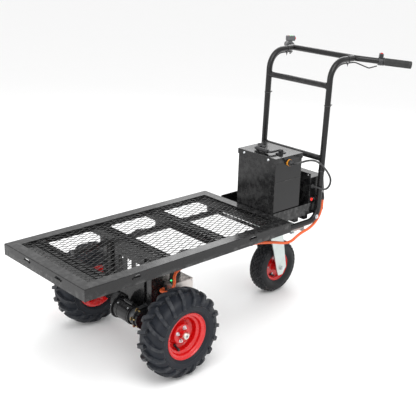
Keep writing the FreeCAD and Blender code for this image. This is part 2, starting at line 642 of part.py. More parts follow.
def power_box_cover():
    """The front plate, which stands up above the case as a flange."""
    x0, y = POWER_X1 + 0.2, POWER_HALF
    plate = box(x0, x0 + 2.0, -y, y + 1.8, TRAY_Z + 3.2, POWER_TOP + 19)
    slots = [box(x0 - 1, x0 + 3, y0, y0 + 30, 470 + 14 * i, 474 + 14 * i)
             for i in range(4) for y0 in (-110, -60)]
    return plate.cut(group(slots))


def main_switch():
    """The round push switch of the power box."""
    return cyl(SWITCH_R, 8.5, V(SWITCH_X, POWER_HALF - 4, SWITCH_Z), Y)


def charge_port():
    base = V(PORT_X, POWER_HALF - 4, PORT_Z)
    body = turned([(0, 0), (0, 6.8), (4.0, 6.8), (4.0, 9.0), (6.5, 9.0), (7.5, 7.5), (10.5, 7.0),
                   (11, 6.0), (11, 0)], base, Y)
    return body


def charger():
    """The finned charger module inside the power box."""
    x0, x1, z0, z1 = POWER_X0 + 14, POWER_X1 - 20, TRAY_Z + 6, TRAY_Z + 96
    middle, half = CHARGER_Y, 62.0
    body = softened(box(x0, x1, middle - half, middle + half, z0, z1), 2.0, runs_along(Y))
    fins = [box(x0 + 6 + 9 * i, x0 + 10 + 9 * i, middle - half - 1, middle + half + 1, z1 - 10, z1 + 1)
            for i in range(5)]
    foot = box(x0, x1, middle - half + 8, middle + half - 8, TRAY_Z + 3.0 + CASE_T, z0)
    return body.cut(group(fins)).fuse(foot)


# ---- Under the bed ---------------------------------------------------------------------------


def post(side, foot):
    """A channel post between a cross channel and the axle, with its foot plate."""
    y0, y1 = side * POST_Y - POST_W / 2, side * POST_Y + POST_W / 2
    x0, x1 = WHEEL_X - POST_D / 2, WHEEL_X + POST_D / 2
    top = DECK_Z - ANGLE_T - MESH_T - CROSS_H
    column = box(x0, x1, y0, y1, foot, top)
    inside = -1 if side > 0 else 1
    hollow = box(x0 + POST_T, x1 - POST_T, y0 + (POST_T if inside > 0 else -1),
                 y1 - (POST_T if inside < 0 else -1), foot + 6, top)
    return column.cut(hollow)


def hanger():
    """The folded plate between the middle of the axle and the cross channel over it."""
    x0, x1, y0, y1, t = WHEEL_X - 14.0, WHEEL_X + 20.0, -84.0, 98.0, 4.0
    top = DECK_Z - ANGLE_T - MESH_T - CROSS_H
    plate = box(x1 - t, x1, y0, y1, WHEEL_R + 20, top)
    folds = [box(x0, x1, y, y + t, WHEEL_R + 20, top) for y in (y0, y1 - t)]
    slots = [box(x1 - 10, x1 + 1, y - 14, y + 14, 300, 370) for y in (-44.0, 7.0, 58.0)]
    drum = cyl(DRUM_R + 3.0, 96, V(WHEEL_X, -94, WHEEL_R), Y)
    axle = cyl(AXLE_TUBE_R, 200, V(WHEEL_X, -90, WHEEL_R), Y)
    motor = cyl(MOTOR_R + 5, 120, V(MOTOR_X, 0, MOTOR_Z), Y)
    return plate.multiFuse(folds).cut(group(slots)).cut(drum).cut(axle).cut(motor)


def axle_posts():
    left = post(1, WHEEL_R + CASE_R + 0.3).cut(cyl(CASE_R, 60, V(WHEEL_X, CASE_Y0, WHEEL_R), Y))
    right = post(-1, WHEEL_R + AXLE_TUBE_R - 4).cut(
        cyl(AXLE_TUBE_R, 60, V(WHEEL_X, -POST_Y - 30, WHEEL_R), Y))
    braces = []
    for side in (1, -1):
        y = side * POST_Y
        start, end = V(WHEEL_X - 20, y - 3, 320), V(WHEEL_X - 150, y - 3, 409)
        braces.append(prism([start, start + V(0, 0, 26), end + V(22, 0, 0), end + V(-8, 0, 0)], Y * 6))
    return group([left.fuse(braces[0]), right.fuse(braces[1]), hanger()])


def axle_tubes():
    """The axle housings, one long and one short, with their end flanges."""
    parts = []
    for y0, y1 in ((CASE_Y1, 215.0), (-215.0, CASE_Y0)):
        body = cyl(AXLE_TUBE_R, y1 - y0, V(WHEEL_X, y0, WHEEL_R), Y)
        end = y1 if y0 > 0 else y0
        collar = cyl(AXLE_TUBE_R + 6, 10, V(WHEEL_X, end - (10 if y0 > 0 else 0), WHEEL_R), Y)
        body = body.fuse(collar)
        if y0 < 0:
            body = body.fuse(turned([(-92, 0), (-92, 28), (-80, DRUM_R - 4), (-48, DRUM_R - 2), (-48, DRUM_R + 3),
                                     (-40, DRUM_R + 3), (-40, DRUM_R - 2), (-14, DRUM_R - 5), (-2, 28), (-2, 0)],
                                    V(WHEEL_X, 0, WHEEL_R), Y))
        parts.append(body.cut(cyl(17.0, y1 - y0 + 2, V(WHEEL_X, y0 - 1, WHEEL_R), Y)))
    return group(parts)


def shaft_bearings():
    """The bearing rings that the half shafts run in."""
    return group([ring(17.0, SHAFT_R + 0.05, 12, V(WHEEL_X, y, WHEEL_R), Y)
                  for y in (203.0, CASE_Y1 + 1, -215.0, CASE_Y0 - 13)])


def case_outline(grow, y0, y1):
    """The gearcase's outline: two round bosses and the web between them."""
    return belt(V(WHEEL_X, y0, WHEEL_R), CASE_R - 4 + grow, V(MOTOR_X, y0, MOTOR_Z), MOTOR_BOSS + grow,
                Y, y1 - y0)


def gear_case():
    """The casting that the motor bolts to: a cup with walls on the motor's side."""
    wall, split = 4.0, 132.0
    cup = case_outline(0, CASE_Y0, split).cut(case_outline(-wall, CASE_Y0 + wall, split + 1))
    pad = box(WHEEL_X - 24, WHEEL_X + 24, CASE_Y0, split, WHEEL_R + 50, WHEEL_R + CASE_R + 0.3)
    cup = cup.fuse(pad.cut(cyl(CASE_R - 5, 60, V(WHEEL_X, CASE_Y0 - 5, WHEEL_R), Y)))
    ribs = [box(WHEEL_X - 1.5 + 18 * i, WHEEL_X + 1.5 + 18 * i, CASE_Y0 + 3, split, WHEEL_R - CASE_R,
                WHEEL_R - CASE_R + 10).common(cyl(CASE_R, 60, V(WHEEL_X, CASE_Y0 - 5, WHEEL_R), Y))
            for i in (-1, 0, 1)]
    cup = cup.multiFuse(ribs)
    shaft = cyl(SHAFT_R + 1.0, 60, V(WHEEL_X, CASE_Y0 - 5, WHEEL_R), Y)
    motor = cyl(9.0, 20, V(MOTOR_X, CASE_Y0 - 5, MOTOR_Z), Y)
    return cup.cut(shaft).cut(motor)


def gear_cover():
    wall, split = 4.0, 132.0
    lid = case_outline(0, split, CASE_Y1).cut(case_outline(-wall, split - 1, CASE_Y1 - wall))
    flange = case_outline(4, split, split + 5).cut(case_outline(-wall, split - 1, split + 6))
    return lid.fuse(flange).cut(cyl(SHAFT_R + 1.0, 60, V(WHEEL_X, CASE_Y0, WHEEL_R), Y))


def motor_barrel():
    length = CASE_Y0 - MOTOR_END - 8
    body = ring(MOTOR_R, MOTOR_R - 5, length, V(MOTOR_X, MOTOR_END + 8, MOTOR_Z), Y)
    bands = [ring(MOTOR_R + 1.2, MOTOR_R - 1, 3, V(MOTOR_X, y, MOTOR_Z), Y) for y in (34.0, 94.0)]
    feet = [cyl(4.0, 18, V(MOTOR_X + dx, 60 + dy, MOTOR_Z - MOTOR_R - 3), Z)
            for dx, dy in ((-6, 0), (-6, 16))]
    feet = [f.cut(cyl(MOTOR_R - 2, 140, V(MOTOR_X, -10, MOTOR_Z), Y)) for f in feet]
    return body.multiFuse(bands + feet)


def motor_end_cap():
    """The end bell with its flange, and the brush holder on top."""
    at = V(MOTOR_X, MOTOR_END, MOTOR_Z)
    cap = turned([(-5, 0), (-5, 16), (0, 20), (0, MOTOR_R + 6), (5, MOTOR_R + 6), (5, MOTOR_R), (8, MOTOR_R),
                  (8, MOTOR_R - 5.4), (6, MOTOR_R - 5.4), (6, 8.5), (2, 8.5), (2, 0)], at, Y)
    holder = cyl(8.0, 44, V(MOTOR_X + 5, 56, MOTOR_Z + MOTOR_R + 6), Y)
    cap_end = cyl(5.5, 5, V(MOTOR_X + 5, 51, MOTOR_Z + MOTOR_R + 6), Y)
    return group([cap, holder.cut(cyl(MOTOR_R + 1.3, 200, V(MOTOR_X, -60, MOTOR_Z), Y)).fuse(cap_end)])


def gear(teeth, centre, width, bore, phase, shrink):
    """A spur gear about Y with straight-sided teeth, thinned for running clearance."""
    pitch = GEAR_MODULE * teeth / 2
    tip, root = pitch + GEAR_MODULE * 0.8, pitch - GEAR_MODULE * 1.2
    step = 2 * math.pi / teeth
    corners = []
    for i in range(teeth):
        mid = phase + i * step
        for radius, share in ((root, -0.32), (tip, -0.13), (tip, 0.13), (root, 0.32)):
            angle = mid + step * share * shrink
            corners.append(centre + V(radius * math.cos(angle), 0, radius * math.sin(angle)))
    return prism(corners, Y * width).cut(cyl(bore, width, centre, Y))


def differential():
    """The ring gear on the differential carrier, which turns round both half shafts."""
    phase = GEAR_ANGLE
    wheel = gear(RING_TEETH, V(WHEEL_X, GEAR_Y, WHEEL_R), GEAR_W, 22.0, phase, 0.8)
    carrier = ring(24.0, SHAFT_R + 4, GEAR_W + 12, V(WHEEL_X, GEAR_Y + 2, WHEEL_R), Y)
    return wheel.fuse(carrier)


def motor_rotor():
    """The armature, its shaft and the pinion, as one turning piece."""
    step = 2 * math.pi / PINION_TEETH
    phase = GEAR_ANGLE + math.pi + step / 2
    pinion = gear(PINION_TEETH, V(MOTOR_X, GEAR_Y, MOTOR_Z), GEAR_W, 0.01, phase, 0.8)
    pinion = pinion.fuse(cyl(9.0, GEAR_W, V(MOTOR_X, GEAR_Y, MOTOR_Z), Y))
    shaft = cyl(8.0, GEAR_Y + GEAR_W + 4 - (MOTOR_END + 3), V(MOTOR_X, MOTOR_END + 3, MOTOR_Z), Y)
    core = cyl(MOTOR_R - 8, 54, V(MOTOR_X, 30, MOTOR_Z), Y)
    return shaft.multiFuse([pinion, core])


def case_bolts():
    """Bolts round the gearcase joint and the silver nuts on the chassis."""
    parts = []
    for cx, cz, r, angles in ((MOTOR_X, MOTOR_Z, MOTOR_BOSS, (75, 10, -50)),
                              (WHEEL_X, WHEEL_R, CASE_R - 6, (125, 180, 235))):
        for a in angles:
            at = V(cx + (r + 1.5) * math.cos(math.radians(a)), 128, cz + (r + 1.5) * math.sin(math.radians(a)))
            parts.append(hex_head(5.2, 4.0, at, Y * -1).fuse(cyl(2.6, 9.0, at, Y)))
    for side in (1, -1):
        for x in (-372.0, -308.0):
            at = V(x, side * RAIL_Y, RAIL_Z - TUBE_R - 10.2)
            parts.append(hex_head(8.0, 6.0, at, Z * -1))
    return group(parts)


def controller_case():
    """Extruded aluminium motor controller with cooling fins under it and end plates."""
    body = box(CTRL_X0, CTRL_X1, CTRL_Y0, CTRL_Y1, CTRL_Z0, CTRL_Z1)
    body = softened(body, 2.0, runs_along(Y))
    grooves = [box(CTRL_X0 + 8 + 9 * i, CTRL_X0 + 13 + 9 * i, CTRL_Y0 - 1, CTRL_Y1 + 1, CTRL_Z0 - 1,
                   CTRL_Z0 + 12) for i in range(10)]
    return body.cut(group(grooves))


def wiring_conduit():
    return cord("wiring_conduit", [V(*p) for p in CONDUIT_ROUTE], CONDUIT_R)


# ---- Drive wheels ----------------------------------------------------------------------------


def seat_plug(centre, side, half, seat):
    """The solid of revolution inside a rim's outer surface, given from one flange to the other."""
    reach = 40.0
    points = [(half + reach, 0), (half + reach, seat[0][1])] + seat
    points += [(-half - reach, seat[-1][1]), (-half - reach, 0)]
    return turned([(side * a, r) for a, r in points], centre, Y)


def tyre_profile(radius, half, rim_r, wall=9.0):
    """Half section of a tyre's outside and inside, as (along the axle, radius) points."""
    side = half * 0.94
    outer = [(-half * 0.62, rim_r - 13), (-side, rim_r + 4), (-half, rim_r + 26), (-side, radius - 30),
             (-half * 0.72, radius - 10), (-half * 0.34, radius), (half * 0.34, radius),
             (half * 0.72, radius - 10), (side, radius - 30), (half, rim_r + 26), (side, rim_r + 4),
             (half * 0.62, rim_r - 13)]
    inner = [(half * 0.62 - 5, rim_r - 13), (half * 0.62 - 3, rim_r + 2), (half - wall, rim_r + 26),
             (side - wall, radius - 32), (half * 0.5, radius - 20), (-half * 0.5, radius - 20),
             (-side + wall, radius - 32), (-half + wall, rim_r + 26), (-half * 0.62 + 3, rim_r + 2),
             (-half * 0.62 + 5, rim_r - 13)]
    return outer + inner


def drive_tyre(side):
    """Pneumatic tyre with two rows of slanted, staggered lugs."""
    centre = V(WHEEL_X, side * WHEEL_Y, WHEEL_R)
    carcass_r, half = WHEEL_R - 12.0, TYRE_W / 2
    body = turned(tyre_profile(carcass_r, half, RIM_R), centre, Y)
    envelope = turned([(-half + 4, carcass_r - 22), (-half + 3, WHEEL_R - 20), (-half * 0.72, WHEEL_R - 4),
                       (-half * 0.36, WHEEL_R), (half * 0.36, WHEEL_R), (half * 0.72, WHEEL_R - 4),
                       (half - 3, WHEEL_R - 20), (half - 4, carcass_r - 22)], centre, Y)
    lugs = []
    for row in (1, -1):
        low, high = WHEEL_R - 42, WHEEL_R + 4
        inner_y, outer_y = -2.0, half + 2
        skew = -34.0
        corners = [(-6.5, inner_y), (6.5, inner_y), (skew + 7.5, outer_y), (skew - 7.5, outer_y)]
        base = [centre + V(a, row * b, -high) for a, b in corners]
        bar = prism(base, Z * (high - low)).common(envelope)
        for i in range(LUGS):
            turn = 360.0 / LUGS * (i + (0.5 if row < 0 else 0))
            copy = bar.copy()
            copy.rotate(centre, Y, turn)
            lugs.append(copy)
    return body.multiFuse(lugs).cut(seat_plug(centre, side, DRIVE_RIM_HALF, DRIVE_SEAT))


def drive_rim(side):
    """Pressed steel rim: outer flange, well and a deep-set disc with the hub hole."""
    half = DRIVE_RIM_HALF
    inside = [(-half, RIM_R - 6), (-half + 5, RIM_R - 9), (-half + 8, RIM_R - 17), (-34, RIM_R - 19),
              (-26, RIM_R - 29), (-6.5, RIM_R - 30), (-10.5, 48), (16, 36), (16, 16), (20, 16), (20, 37),
              (-5, 50), (-2, RIM_R - 34), (4, RIM_R - 29), (half - 26, RIM_R - 26),
              (half - 20, RIM_R - 16), (half - 8, RIM_R - 14), (half - 5, RIM_R - 6), (half, RIM_R - 3)]
    profile = [(side * a, r) for a, r in DRIVE_SEAT + inside]
    return turned(profile, V(WHEEL_X, side * WHEEL_Y, WHEEL_R), Y)


def half_shaft(side):
    """The half shaft with its wheel flange."""
    hub = side * WHEEL_Y
    shaft_from, shaft_to = SHAFT_ENDS[side]
    shaft = cyl(SHAFT_R, shaft_to - shaft_from, V(WHEEL_X, shaft_from, WHEEL_R), Y)
    flange = turned([(side * 16.0, SHAFT_R - 1), (side * 16.0, 32), (side * 9.0, 32), (side * -6.0, 20),
                     (side * -56.0, 17), (side * -56.0, SHAFT_R - 1)], V(WHEEL_X, hub, WHEEL_R), Y)
    pilot = ring(15.8, SHAFT_R - 1, 22, V(WHEEL_X, hub + (16 if side > 0 else -38), WHEEL_R), Y)
    return shaft.multiFuse([flange, pilot])


def wheel_fittings(side):
    """Hub nut and washer, four flange bolts and the valve of one drive wheel."""
    s = side
    base = V(WHEEL_X, s * (WHEEL_Y + 38.0), WHEEL_R)
    washer = ring(15.0, SHAFT_R + 0.05, 2.0, base, Y * s)
    nut = hex_head(12.5, 8.0, base + Y * (s * 2.0), Y * s).cut(cyl(SHAFT_R + 0.05, 12, base, Y * s))
    parts = [washer, nut]
    for i in range(4):
        angle = math.radians(90 * i + 20)
        at = V(WHEEL_X + BOLT_PCD / 2 * math.cos(angle), s * (WHEEL_Y + 20.0), WHEEL_R + BOLT_PCD / 2 * math.sin(angle))
        parts.append(hex_head(6.0, 6.0, at, Y * s).fuse(cyl(3.0, 10, at, Y * s)))
    angle = math.radians(250)
    at = V(WHEEL_X + 52 * math.cos(angle), s * (WHEEL_Y - 4.0), WHEEL_R + 52 * math.sin(angle))
    lean = V(-0.25 * math.cos(angle), s * 1.0, -0.25 * math.sin(angle)).normalize()
    parts.append(cyl(5.2, 24, at, lean).fuse(cyl(3.4, 34, at, lean)))
    return group(parts)


# ---- Caster ----------------------------------------------------------------------------------
def caster_mount_plate():
    """The plate across the chassis tubes, the fixed race and the kingpin."""
    top = RAIL_Z - TUBE_R
    plate = box(KINGPIN_X - 60, KINGPIN_X + 60, -75, 75, top - 8, top - 2)
    arms = box(KINGPIN_X - 42, KINGPIN_X + 42, -RAIL_Y - 4, RAIL_Y + 4, top - 8, top - 2)
    plate = plate.fuse(arms).removeSplitter()
    pads = [box(KINGPIN_X - 42, KINGPIN_X + 42, s * RAIL_Y - 6, s * RAIL_Y + 6, top - 2, top + 0.4)
            for s in (1, -1)]
    pads = [p.cut(cyl(TUBE_R, 200, V(KINGPIN_X - 100, s * RAIL_Y, RAIL_Z), X)) for p, s in zip(pads, (1, -1))]
    race = turned([(0, 0), (0, 44), (6, 44), (6, 36), (12, 34), (12, 0)], V(KINGPIN_X, 0, top - 8), Z * -1)
    pin = cyl(9.0, 50, V(KINGPIN_X, 0, top - 58), Z)
    nut = hex_head(15.0, 8.0, V(KINGPIN_X, 0, top - 56), Z * -1)
    return plate.multiFuse(pads + [race, pin, nut])


def caster_fork():
    """Swivel fork: the lower race, the crown and two legs raked back to the axle."""
    top_race = turned([(0, 9.06), (0, 33), (10, 42), (14, 42), (14, 9.06)], V(KINGPIN_X, 0, 339.7), Z * -1)
    crown = box(KINGPIN_X - 44, KINGPIN_X + 38, -FORK_INNER - FORK_T, FORK_INNER + FORK_T, CROWN_Z,
                CROWN_Z + 11)
    crown = softened(crown, 3.0, lambda e: abs(e.CenterOfMass.z - CROWN_Z - 11) < 1e-3)
    crown = crown.cut(cyl(9.06, 60, V(KINGPIN_X, 0, CROWN_Z - 20), Z))
    legs = []
    top_z, axle_z = CROWN_Z + 4, CASTER_R
    outline = [(KINGPIN_X + 36, top_z), (CASTER_X + 30, axle_z + 2), (CASTER_X + 18, axle_z - 32),
               (CASTER_X - 10, axle_z - 32), (CASTER_X - 31, axle_z), (KINGPIN_X - 42, top_z)]
    for side in (1, -1):
        y0 = side * FORK_INNER if side > 0 else -FORK_INNER - FORK_T
        leg = prism([V(x, y0, z) for x, z in outline], Y * FORK_T)
        leg = softened(leg, 5.0, runs_along(Y))
        legs.append(leg.cut(cyl(6.1, 30, V(CASTER_X, y0 - 5, axle_z), Y)))
    return crown.multiFuse(legs + [top_race]).removeSplitter()


def caster_tyre():
    """Block-tread tyre with its circumferential grooves."""
    centre, half, r = V(CASTER_X, 0, CASTER_R), CASTER_W / 2, CASTER_R
    rim = CASTER_RIM_R
    outline = [(-half * 0.5, rim - 9), (-half * 0.86, rim + 3), (-half, rim + 20), (-half * 0.95, r - 20),
               (-half * 0.8, r - 8), (-half * 0.62, r - 3.5), (-half * 0.5, r - 6), (-half * 0.42, r - 6),
               (-half * 0.38, r - 0.8), (-4, r), (-2.5, r - 5), (2.5, r - 5), (4, r),
               (half * 0.38, r - 0.8), (half * 0.42, r - 6), (half * 0.5, r - 6), (half * 0.62, r - 3.5),
               (half * 0.8, r - 8), (half * 0.95, r - 20), (half, rim + 20), (half * 0.86, rim + 3),
               (half * 0.5, rim - 9)]
    inner = [(half * 0.5 - 4, rim - 9), (half * 0.5, rim + 2), (half - 8, rim + 20), (half * 0.7, r - 20),
             (0, r - 14), (-half * 0.7, r - 20), (-half + 8, rim + 20), (-half * 0.5, rim + 2),
             (-half * 0.5 + 4, rim - 9)]
    body = turned(outline + inner, centre, Y)
    return body.cut(seat_plug(centre, 1, CASTER_RIM_HALF, CASTER_SEAT))


def caster_rim():
    """Pressed rim with its hub tube and the bearings in it."""
    centre, r, half = V(CASTER_X, 0, CASTER_R), CASTER_RIM_R, CASTER_RIM_HALF
    inside = [(-half, r - 2.5), (-half + 5, r - 4), (-half + 7, r - 10), (-half + 14, r - 12),
              (3, r - 18), (-1, 26), (1, 19), (-34, 19), (-34, 15.5), (34, 15.5), (34, 19), (6, 19),
              (4, 26), (8, r - 20), (half - 14, r - 12), (half - 7, r - 10), (half - 5, r - 4),
              (half, r - 2.5)]
    body = turned(CASTER_SEAT + inside, centre, Y)
    bearings = [ring(15.5, 6.06, 9, V(CASTER_X, y, CASTER_R), Y) for y in (25.0, -34.0)]
    return group([body] + bearings)


def caster_axle():
    """The axle bolt, its nut and the spacers beside the hub, fixed in the fork."""
    y0 = -FORK_INNER - FORK_T
    bolt = cyl(6.0, 2 * (FORK_INNER + FORK_T) + 12, V(CASTER_X, y0, CASTER_R), Y)
    head = hex_head(10.0, 7.5, V(CASTER_X, y0, CASTER_R), Y * -1)
    nut = hex_head(10.5, 9.0, V(CASTER_X, -y0, CASTER_R), Y)
    spacers = [ring(9.5, 5.9, FORK_INNER - 34.6, V(CASTER_X, y, CASTER_R), Y)
               for y in (34.5, 0.1 - FORK_INNER)]
    return bolt.multiFuse([head, nut] + spacers)


# ---- Assembly --------------------------------------------------------------------------------
def nodes():
    made = dict(bed_angles())
    left = handle_tube()
    switch, switch_frame = switch_housing()
    made.update({
        "crossmembers": crossmembers(), "deck_mesh": deck_mesh(),
        "left_handle_tube": left, "right_handle_tube": mirrored(left), "handlebar": handlebar(),
        "handle_crossbars": handle_crossbars(), "left_grip": grip(1), "right_grip": grip(-1),
        "switch_housing": switch, "direction_rocker": direction_rocker(switch_frame),
        "throttle_housing": throttle_housing(), "charge_display": charge_display(),
        "power_button": power_button(), "throttle_lever": throttle_lever(),
        "handle_cables": handle_cables(), "cable_ties": cable_ties(),
        "conduit_boot": conduit_boot(),
        "battery_tray": battery_tray(), "battery_case": battery_case(), "battery_lid": battery_lid(),
        "fasteners": group([lid_screws(), case_bolts()]), "carry_brackets": carry_brackets(), "carry_handle": carry_handle(),
        "batteries": batteries(), "battery_socket": battery_socket(), "battery_plug": battery_plug(),
        "battery_lead": battery_lead(), "power_box_case": power_box_case(),
        "power_box_cover": power_box_cover(), "main_switch": main_switch(), "charge_port": charge_port(),
        "charger": charger(),
        "axle_posts": axle_posts(), "axle_tubes": axle_tubes(), "shaft_bearings": shaft_bearings(),
        "gear_case": gear_case(), "gear_cover": gear_cover(), "motor_barrel": motor_barrel(),
        "motor_end_cap": motor_end_cap(), "motor_rotor": motor_rotor(), "differential": differential(),
        "controller_case": controller_case(),
        "wiring_conduit": wiring_conduit(),
        "caster_mount_plate": caster_mount_plate(), "caster_fork": caster_fork(),
        "caster_axle": caster_axle(), "caster_tyre": caster_tyre(), "caster_rim": caster_rim(),
    })
    for word, side in (("left", 1), ("right", -1)):
        made[word + "_tyre"] = drive_tyre(side)
        made[word + "_rim"] = drive_rim(side)
        made[word + "_half_shaft"] = half_shaft(side)
        made[word + "_wheel_fittings"] = wheel_fittings(side)
    return made


os.makedirs("parts", exist_ok=True)
for name, shape in nodes().items():
    shape.exportStep("parts/" + name + ".step")
    print(name, "solids", len(shape.Solids), "valid", shape.isValid(), "volume", round(shape.Volume))
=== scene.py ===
import math
import random

import bmesh
import bpy
from mathutils import Matrix, Vector


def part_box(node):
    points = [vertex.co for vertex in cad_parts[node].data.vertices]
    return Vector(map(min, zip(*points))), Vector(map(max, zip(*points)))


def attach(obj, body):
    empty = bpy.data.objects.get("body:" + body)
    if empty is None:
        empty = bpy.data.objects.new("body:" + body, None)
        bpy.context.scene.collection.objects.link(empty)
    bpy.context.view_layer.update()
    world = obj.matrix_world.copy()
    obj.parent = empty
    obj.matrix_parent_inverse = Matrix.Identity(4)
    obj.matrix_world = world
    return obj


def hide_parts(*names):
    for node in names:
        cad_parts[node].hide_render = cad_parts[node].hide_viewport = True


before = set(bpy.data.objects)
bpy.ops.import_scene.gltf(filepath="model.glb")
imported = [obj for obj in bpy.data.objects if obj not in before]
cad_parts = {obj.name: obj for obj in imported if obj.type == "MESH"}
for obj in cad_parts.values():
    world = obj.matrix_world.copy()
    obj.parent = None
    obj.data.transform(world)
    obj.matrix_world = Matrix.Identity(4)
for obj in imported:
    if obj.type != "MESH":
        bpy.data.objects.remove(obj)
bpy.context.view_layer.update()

# Battery powered flat-bed barrow, in metres, in the CAD frame: +X forward, +Y to the operator's
# left, +Z up. Sizes below are in millimetres where a name or a comment says mm.

SCENE = bpy.context.scene
MM = 0.001
X, Y, Z = Vector((1, 0, 0)), Vector((0, 1, 0)), Vector((0, 0, 1))
DICE = random.Random(7)


def mm(x, y, z):
    """A point given in millimetres, in metres."""
    return Vector((x, y, z)) * MM


# ---- Camera, light and floor ------------------------------------------------------------------
def make_camera():
    heading, tilt, roll = math.radians(-132.97), math.radians(-19.18), math.radians(1.66)
    look = Vector((math.cos(heading) * math.cos(tilt), math.sin(heading) * math.cos(tilt), math.sin(tilt)))
    right = look.cross(Z).normalized()
    up = right.cross(look)
    right, up = right * math.cos(roll) + up * math.sin(roll), up * math.cos(roll) - right * math.sin(roll)
    data = bpy.data.cameras.new("view_camera")
    data.lens, data.sensor_width = 71.0, 36.0
    data.shift_x, data.shift_y = 0.0108, -0.0180
    camera = bpy.data.objects.new("view_camera", data)
    turn = Matrix((right, up, -look)).transposed().to_4x4()
    camera.matrix_world = Matrix.Translation((2.165, 2.274, 1.602)) @ turn
    SCENE.collection.objects.link(camera)
    SCENE.camera = camera


def make_lights():
    world = bpy.data.worlds.new("studio")
    world.use_nodes = True
    world.node_tree.nodes["Background"].inputs["Color"].default_value = (1, 1, 1, 1)
    world.node_tree.nodes["Background"].inputs["Strength"].default_value = 0.98
    SCENE.world = world
    SCENE.view_settings.view_transform = "Standard"
    for name, place, size, power in (("key", (0.9, 1.6, 3.2), 2.4, 62), ("fill", (3.0, 0.2, 1.6), 2.0, 22),
                                     ("back", (-2.2, -1.6, 2.4), 2.0, 26)):
        data = bpy.data.lights.new(name, "AREA")
        data.shape, data.size, data.energy = "SQUARE", size, power
        lamp = bpy.data.objects.new(name, data)
        lamp.location = place
        aim = Vector((0, 0, 0.4)) - lamp.location
        lamp.rotation_euler = aim.to_track_quat("-Z", "Y").to_euler()
        SCENE.collection.objects.link(lamp)


# ---- Materials --------------------------------------------------------------------------------
class Finish:
    """A Principled material with helpers for its procedural detail, in object coordinates."""

    def __init__(self, name, colour, roughness, metallic=0.0, **sockets):
        self.material = bpy.data.materials.new(name)
        self.material.use_nodes = True
        self.tree = self.material.node_tree
        self.shader = self.tree.nodes["Principled BSDF"]
        self.colour = (*colour, 1)
        self.set("Base Color", self.colour)
        self.set("Roughness", roughness)
        self.set("Metallic", metallic)
        for key, value in sockets.items():
            self.set(key.replace("_", " "), value)
        self.place = self.tree.nodes.new("ShaderNodeTexCoord").outputs["Object"]
        self.height = None

    def set(self, socket, value):
        self.shader.inputs[socket].default_value = value

    def link(self, output, target):
        self.tree.links.new(output, target)

    def stretched(self, scale):
        node = self.tree.nodes.new("ShaderNodeMapping")
        node.inputs["Scale"].default_value = scale
        self.link(self.place, node.inputs["Vector"])
        return node.outputs["Vector"]

    def noise(self, scale, detail=4.0, roughness=0.6, stretch=None):
        node = self.tree.nodes.new("ShaderNodeTexNoise")
        node.inputs["Scale"].default_value = scale
        node.inputs["Detail"].default_value = detail
        node.inputs["Roughness"].default_value = roughness
        self.link(self.stretched(stretch) if stretch else self.place, node.inputs["Vector"])
        return node.outputs["Fac"]

    def cells(self, scale, stretch=None):
        node = self.tree.nodes.new("ShaderNodeTexVoronoi")
        node.inputs["Scale"].default_value = scale
        self.link(self.stretched(stretch) if stretch else self.place, node.inputs["Vector"])
        return node.outputs["Distance"]

    def ramp(self, source, low, high, start=0.0, end=1.0):
        """source between low and high, mapped to start and end and clamped."""
        node = self.tree.nodes.new("ShaderNodeMapRange")
        for key, value in (("From Min", low), ("From Max", high), ("To Min", start), ("To Max", end)):
            node.inputs[key].default_value = value
        self.link(source, node.inputs["Value"])
        return node.outputs["Result"]

    def edges(self, low=0.515, high=0.56):
        """1 on worn convex edges."""
        node = self.tree.nodes.new("ShaderNodeNewGeometry")
        return self.ramp(node.outputs["Pointiness"], low, high)

    def times(self, first, second):
        node = self.tree.nodes.new("ShaderNodeMath")
        node.operation = "MULTIPLY"
        self.link(first, node.inputs[0])
        self.link(second, node.inputs[1])
        return node.outputs[0]

    def tint(self, mask, colour):
        """Blends colour over the base colour where mask is 1."""
        node = self.tree.nodes.new("ShaderNodeMix")
        node.data_type = "RGBA"
        base = self.shader.inputs["Base Color"]
        if base.is_linked:
            self.link(base.links[0].from_socket, node.inputs["A"])
        else:
            node.inputs["A"].default_value = self.colour
        node.inputs["B"].default_value = (*colour, 1)
        self.link(mask, node.inputs["Factor"])
        self.link(node.outputs["Result"], base)
        return self

    def rough(self, source, low, high):
        self.link(self.ramp(source, 0.3, 0.7, low, high), self.shader.inputs["Roughness"])
        return self

    def bump(self, source, strength, distance):
        node = self.tree.nodes.new("ShaderNodeBump")
        node.inputs["Strength"].default_value = strength
        node.inputs["Distance"].default_value = distance
        self.link(source, node.inputs["Height"])
        normal = self.shader.inputs["Normal"]
        if normal.is_linked:
            self.link(normal.links[0].from_socket, node.inputs["Normal"])
        self.link(node.outputs["Normal"], normal)
        return self


def powder_coat(name, colour, low, high, peel=900, dust=0.5):
    """Baked paint: fine orange peel, faint dust, and a duller, lighter line on worn edges."""
    f = Finish(name, colour, low, Coat_Weight=0.12, Coat_Roughness=0.12)
    f.set("Specular IOR Level", 0.3)
    cloud = f.noise(6, 5, 0.65)
    f.rough(cloud, low, high)
    f.tint(f.ramp(cloud, 0.5, 0.75, 0.0, dust * 0.2), (0.022, 0.021, 0.020))
    f.tint(f.ramp(f.noise(90, 3, 0.7), 0.66, 0.82, 0.0, dust * 0.2), (0.04, 0.038, 0.036))
    f.tint(f.times(f.edges(), f.ramp(f.noise(45), 0.46, 0.62)), (0.05, 0.05, 0.05))
    f.bump(f.noise(peel, 2, 0.5), 0.12, 0.0004)
    return f.material


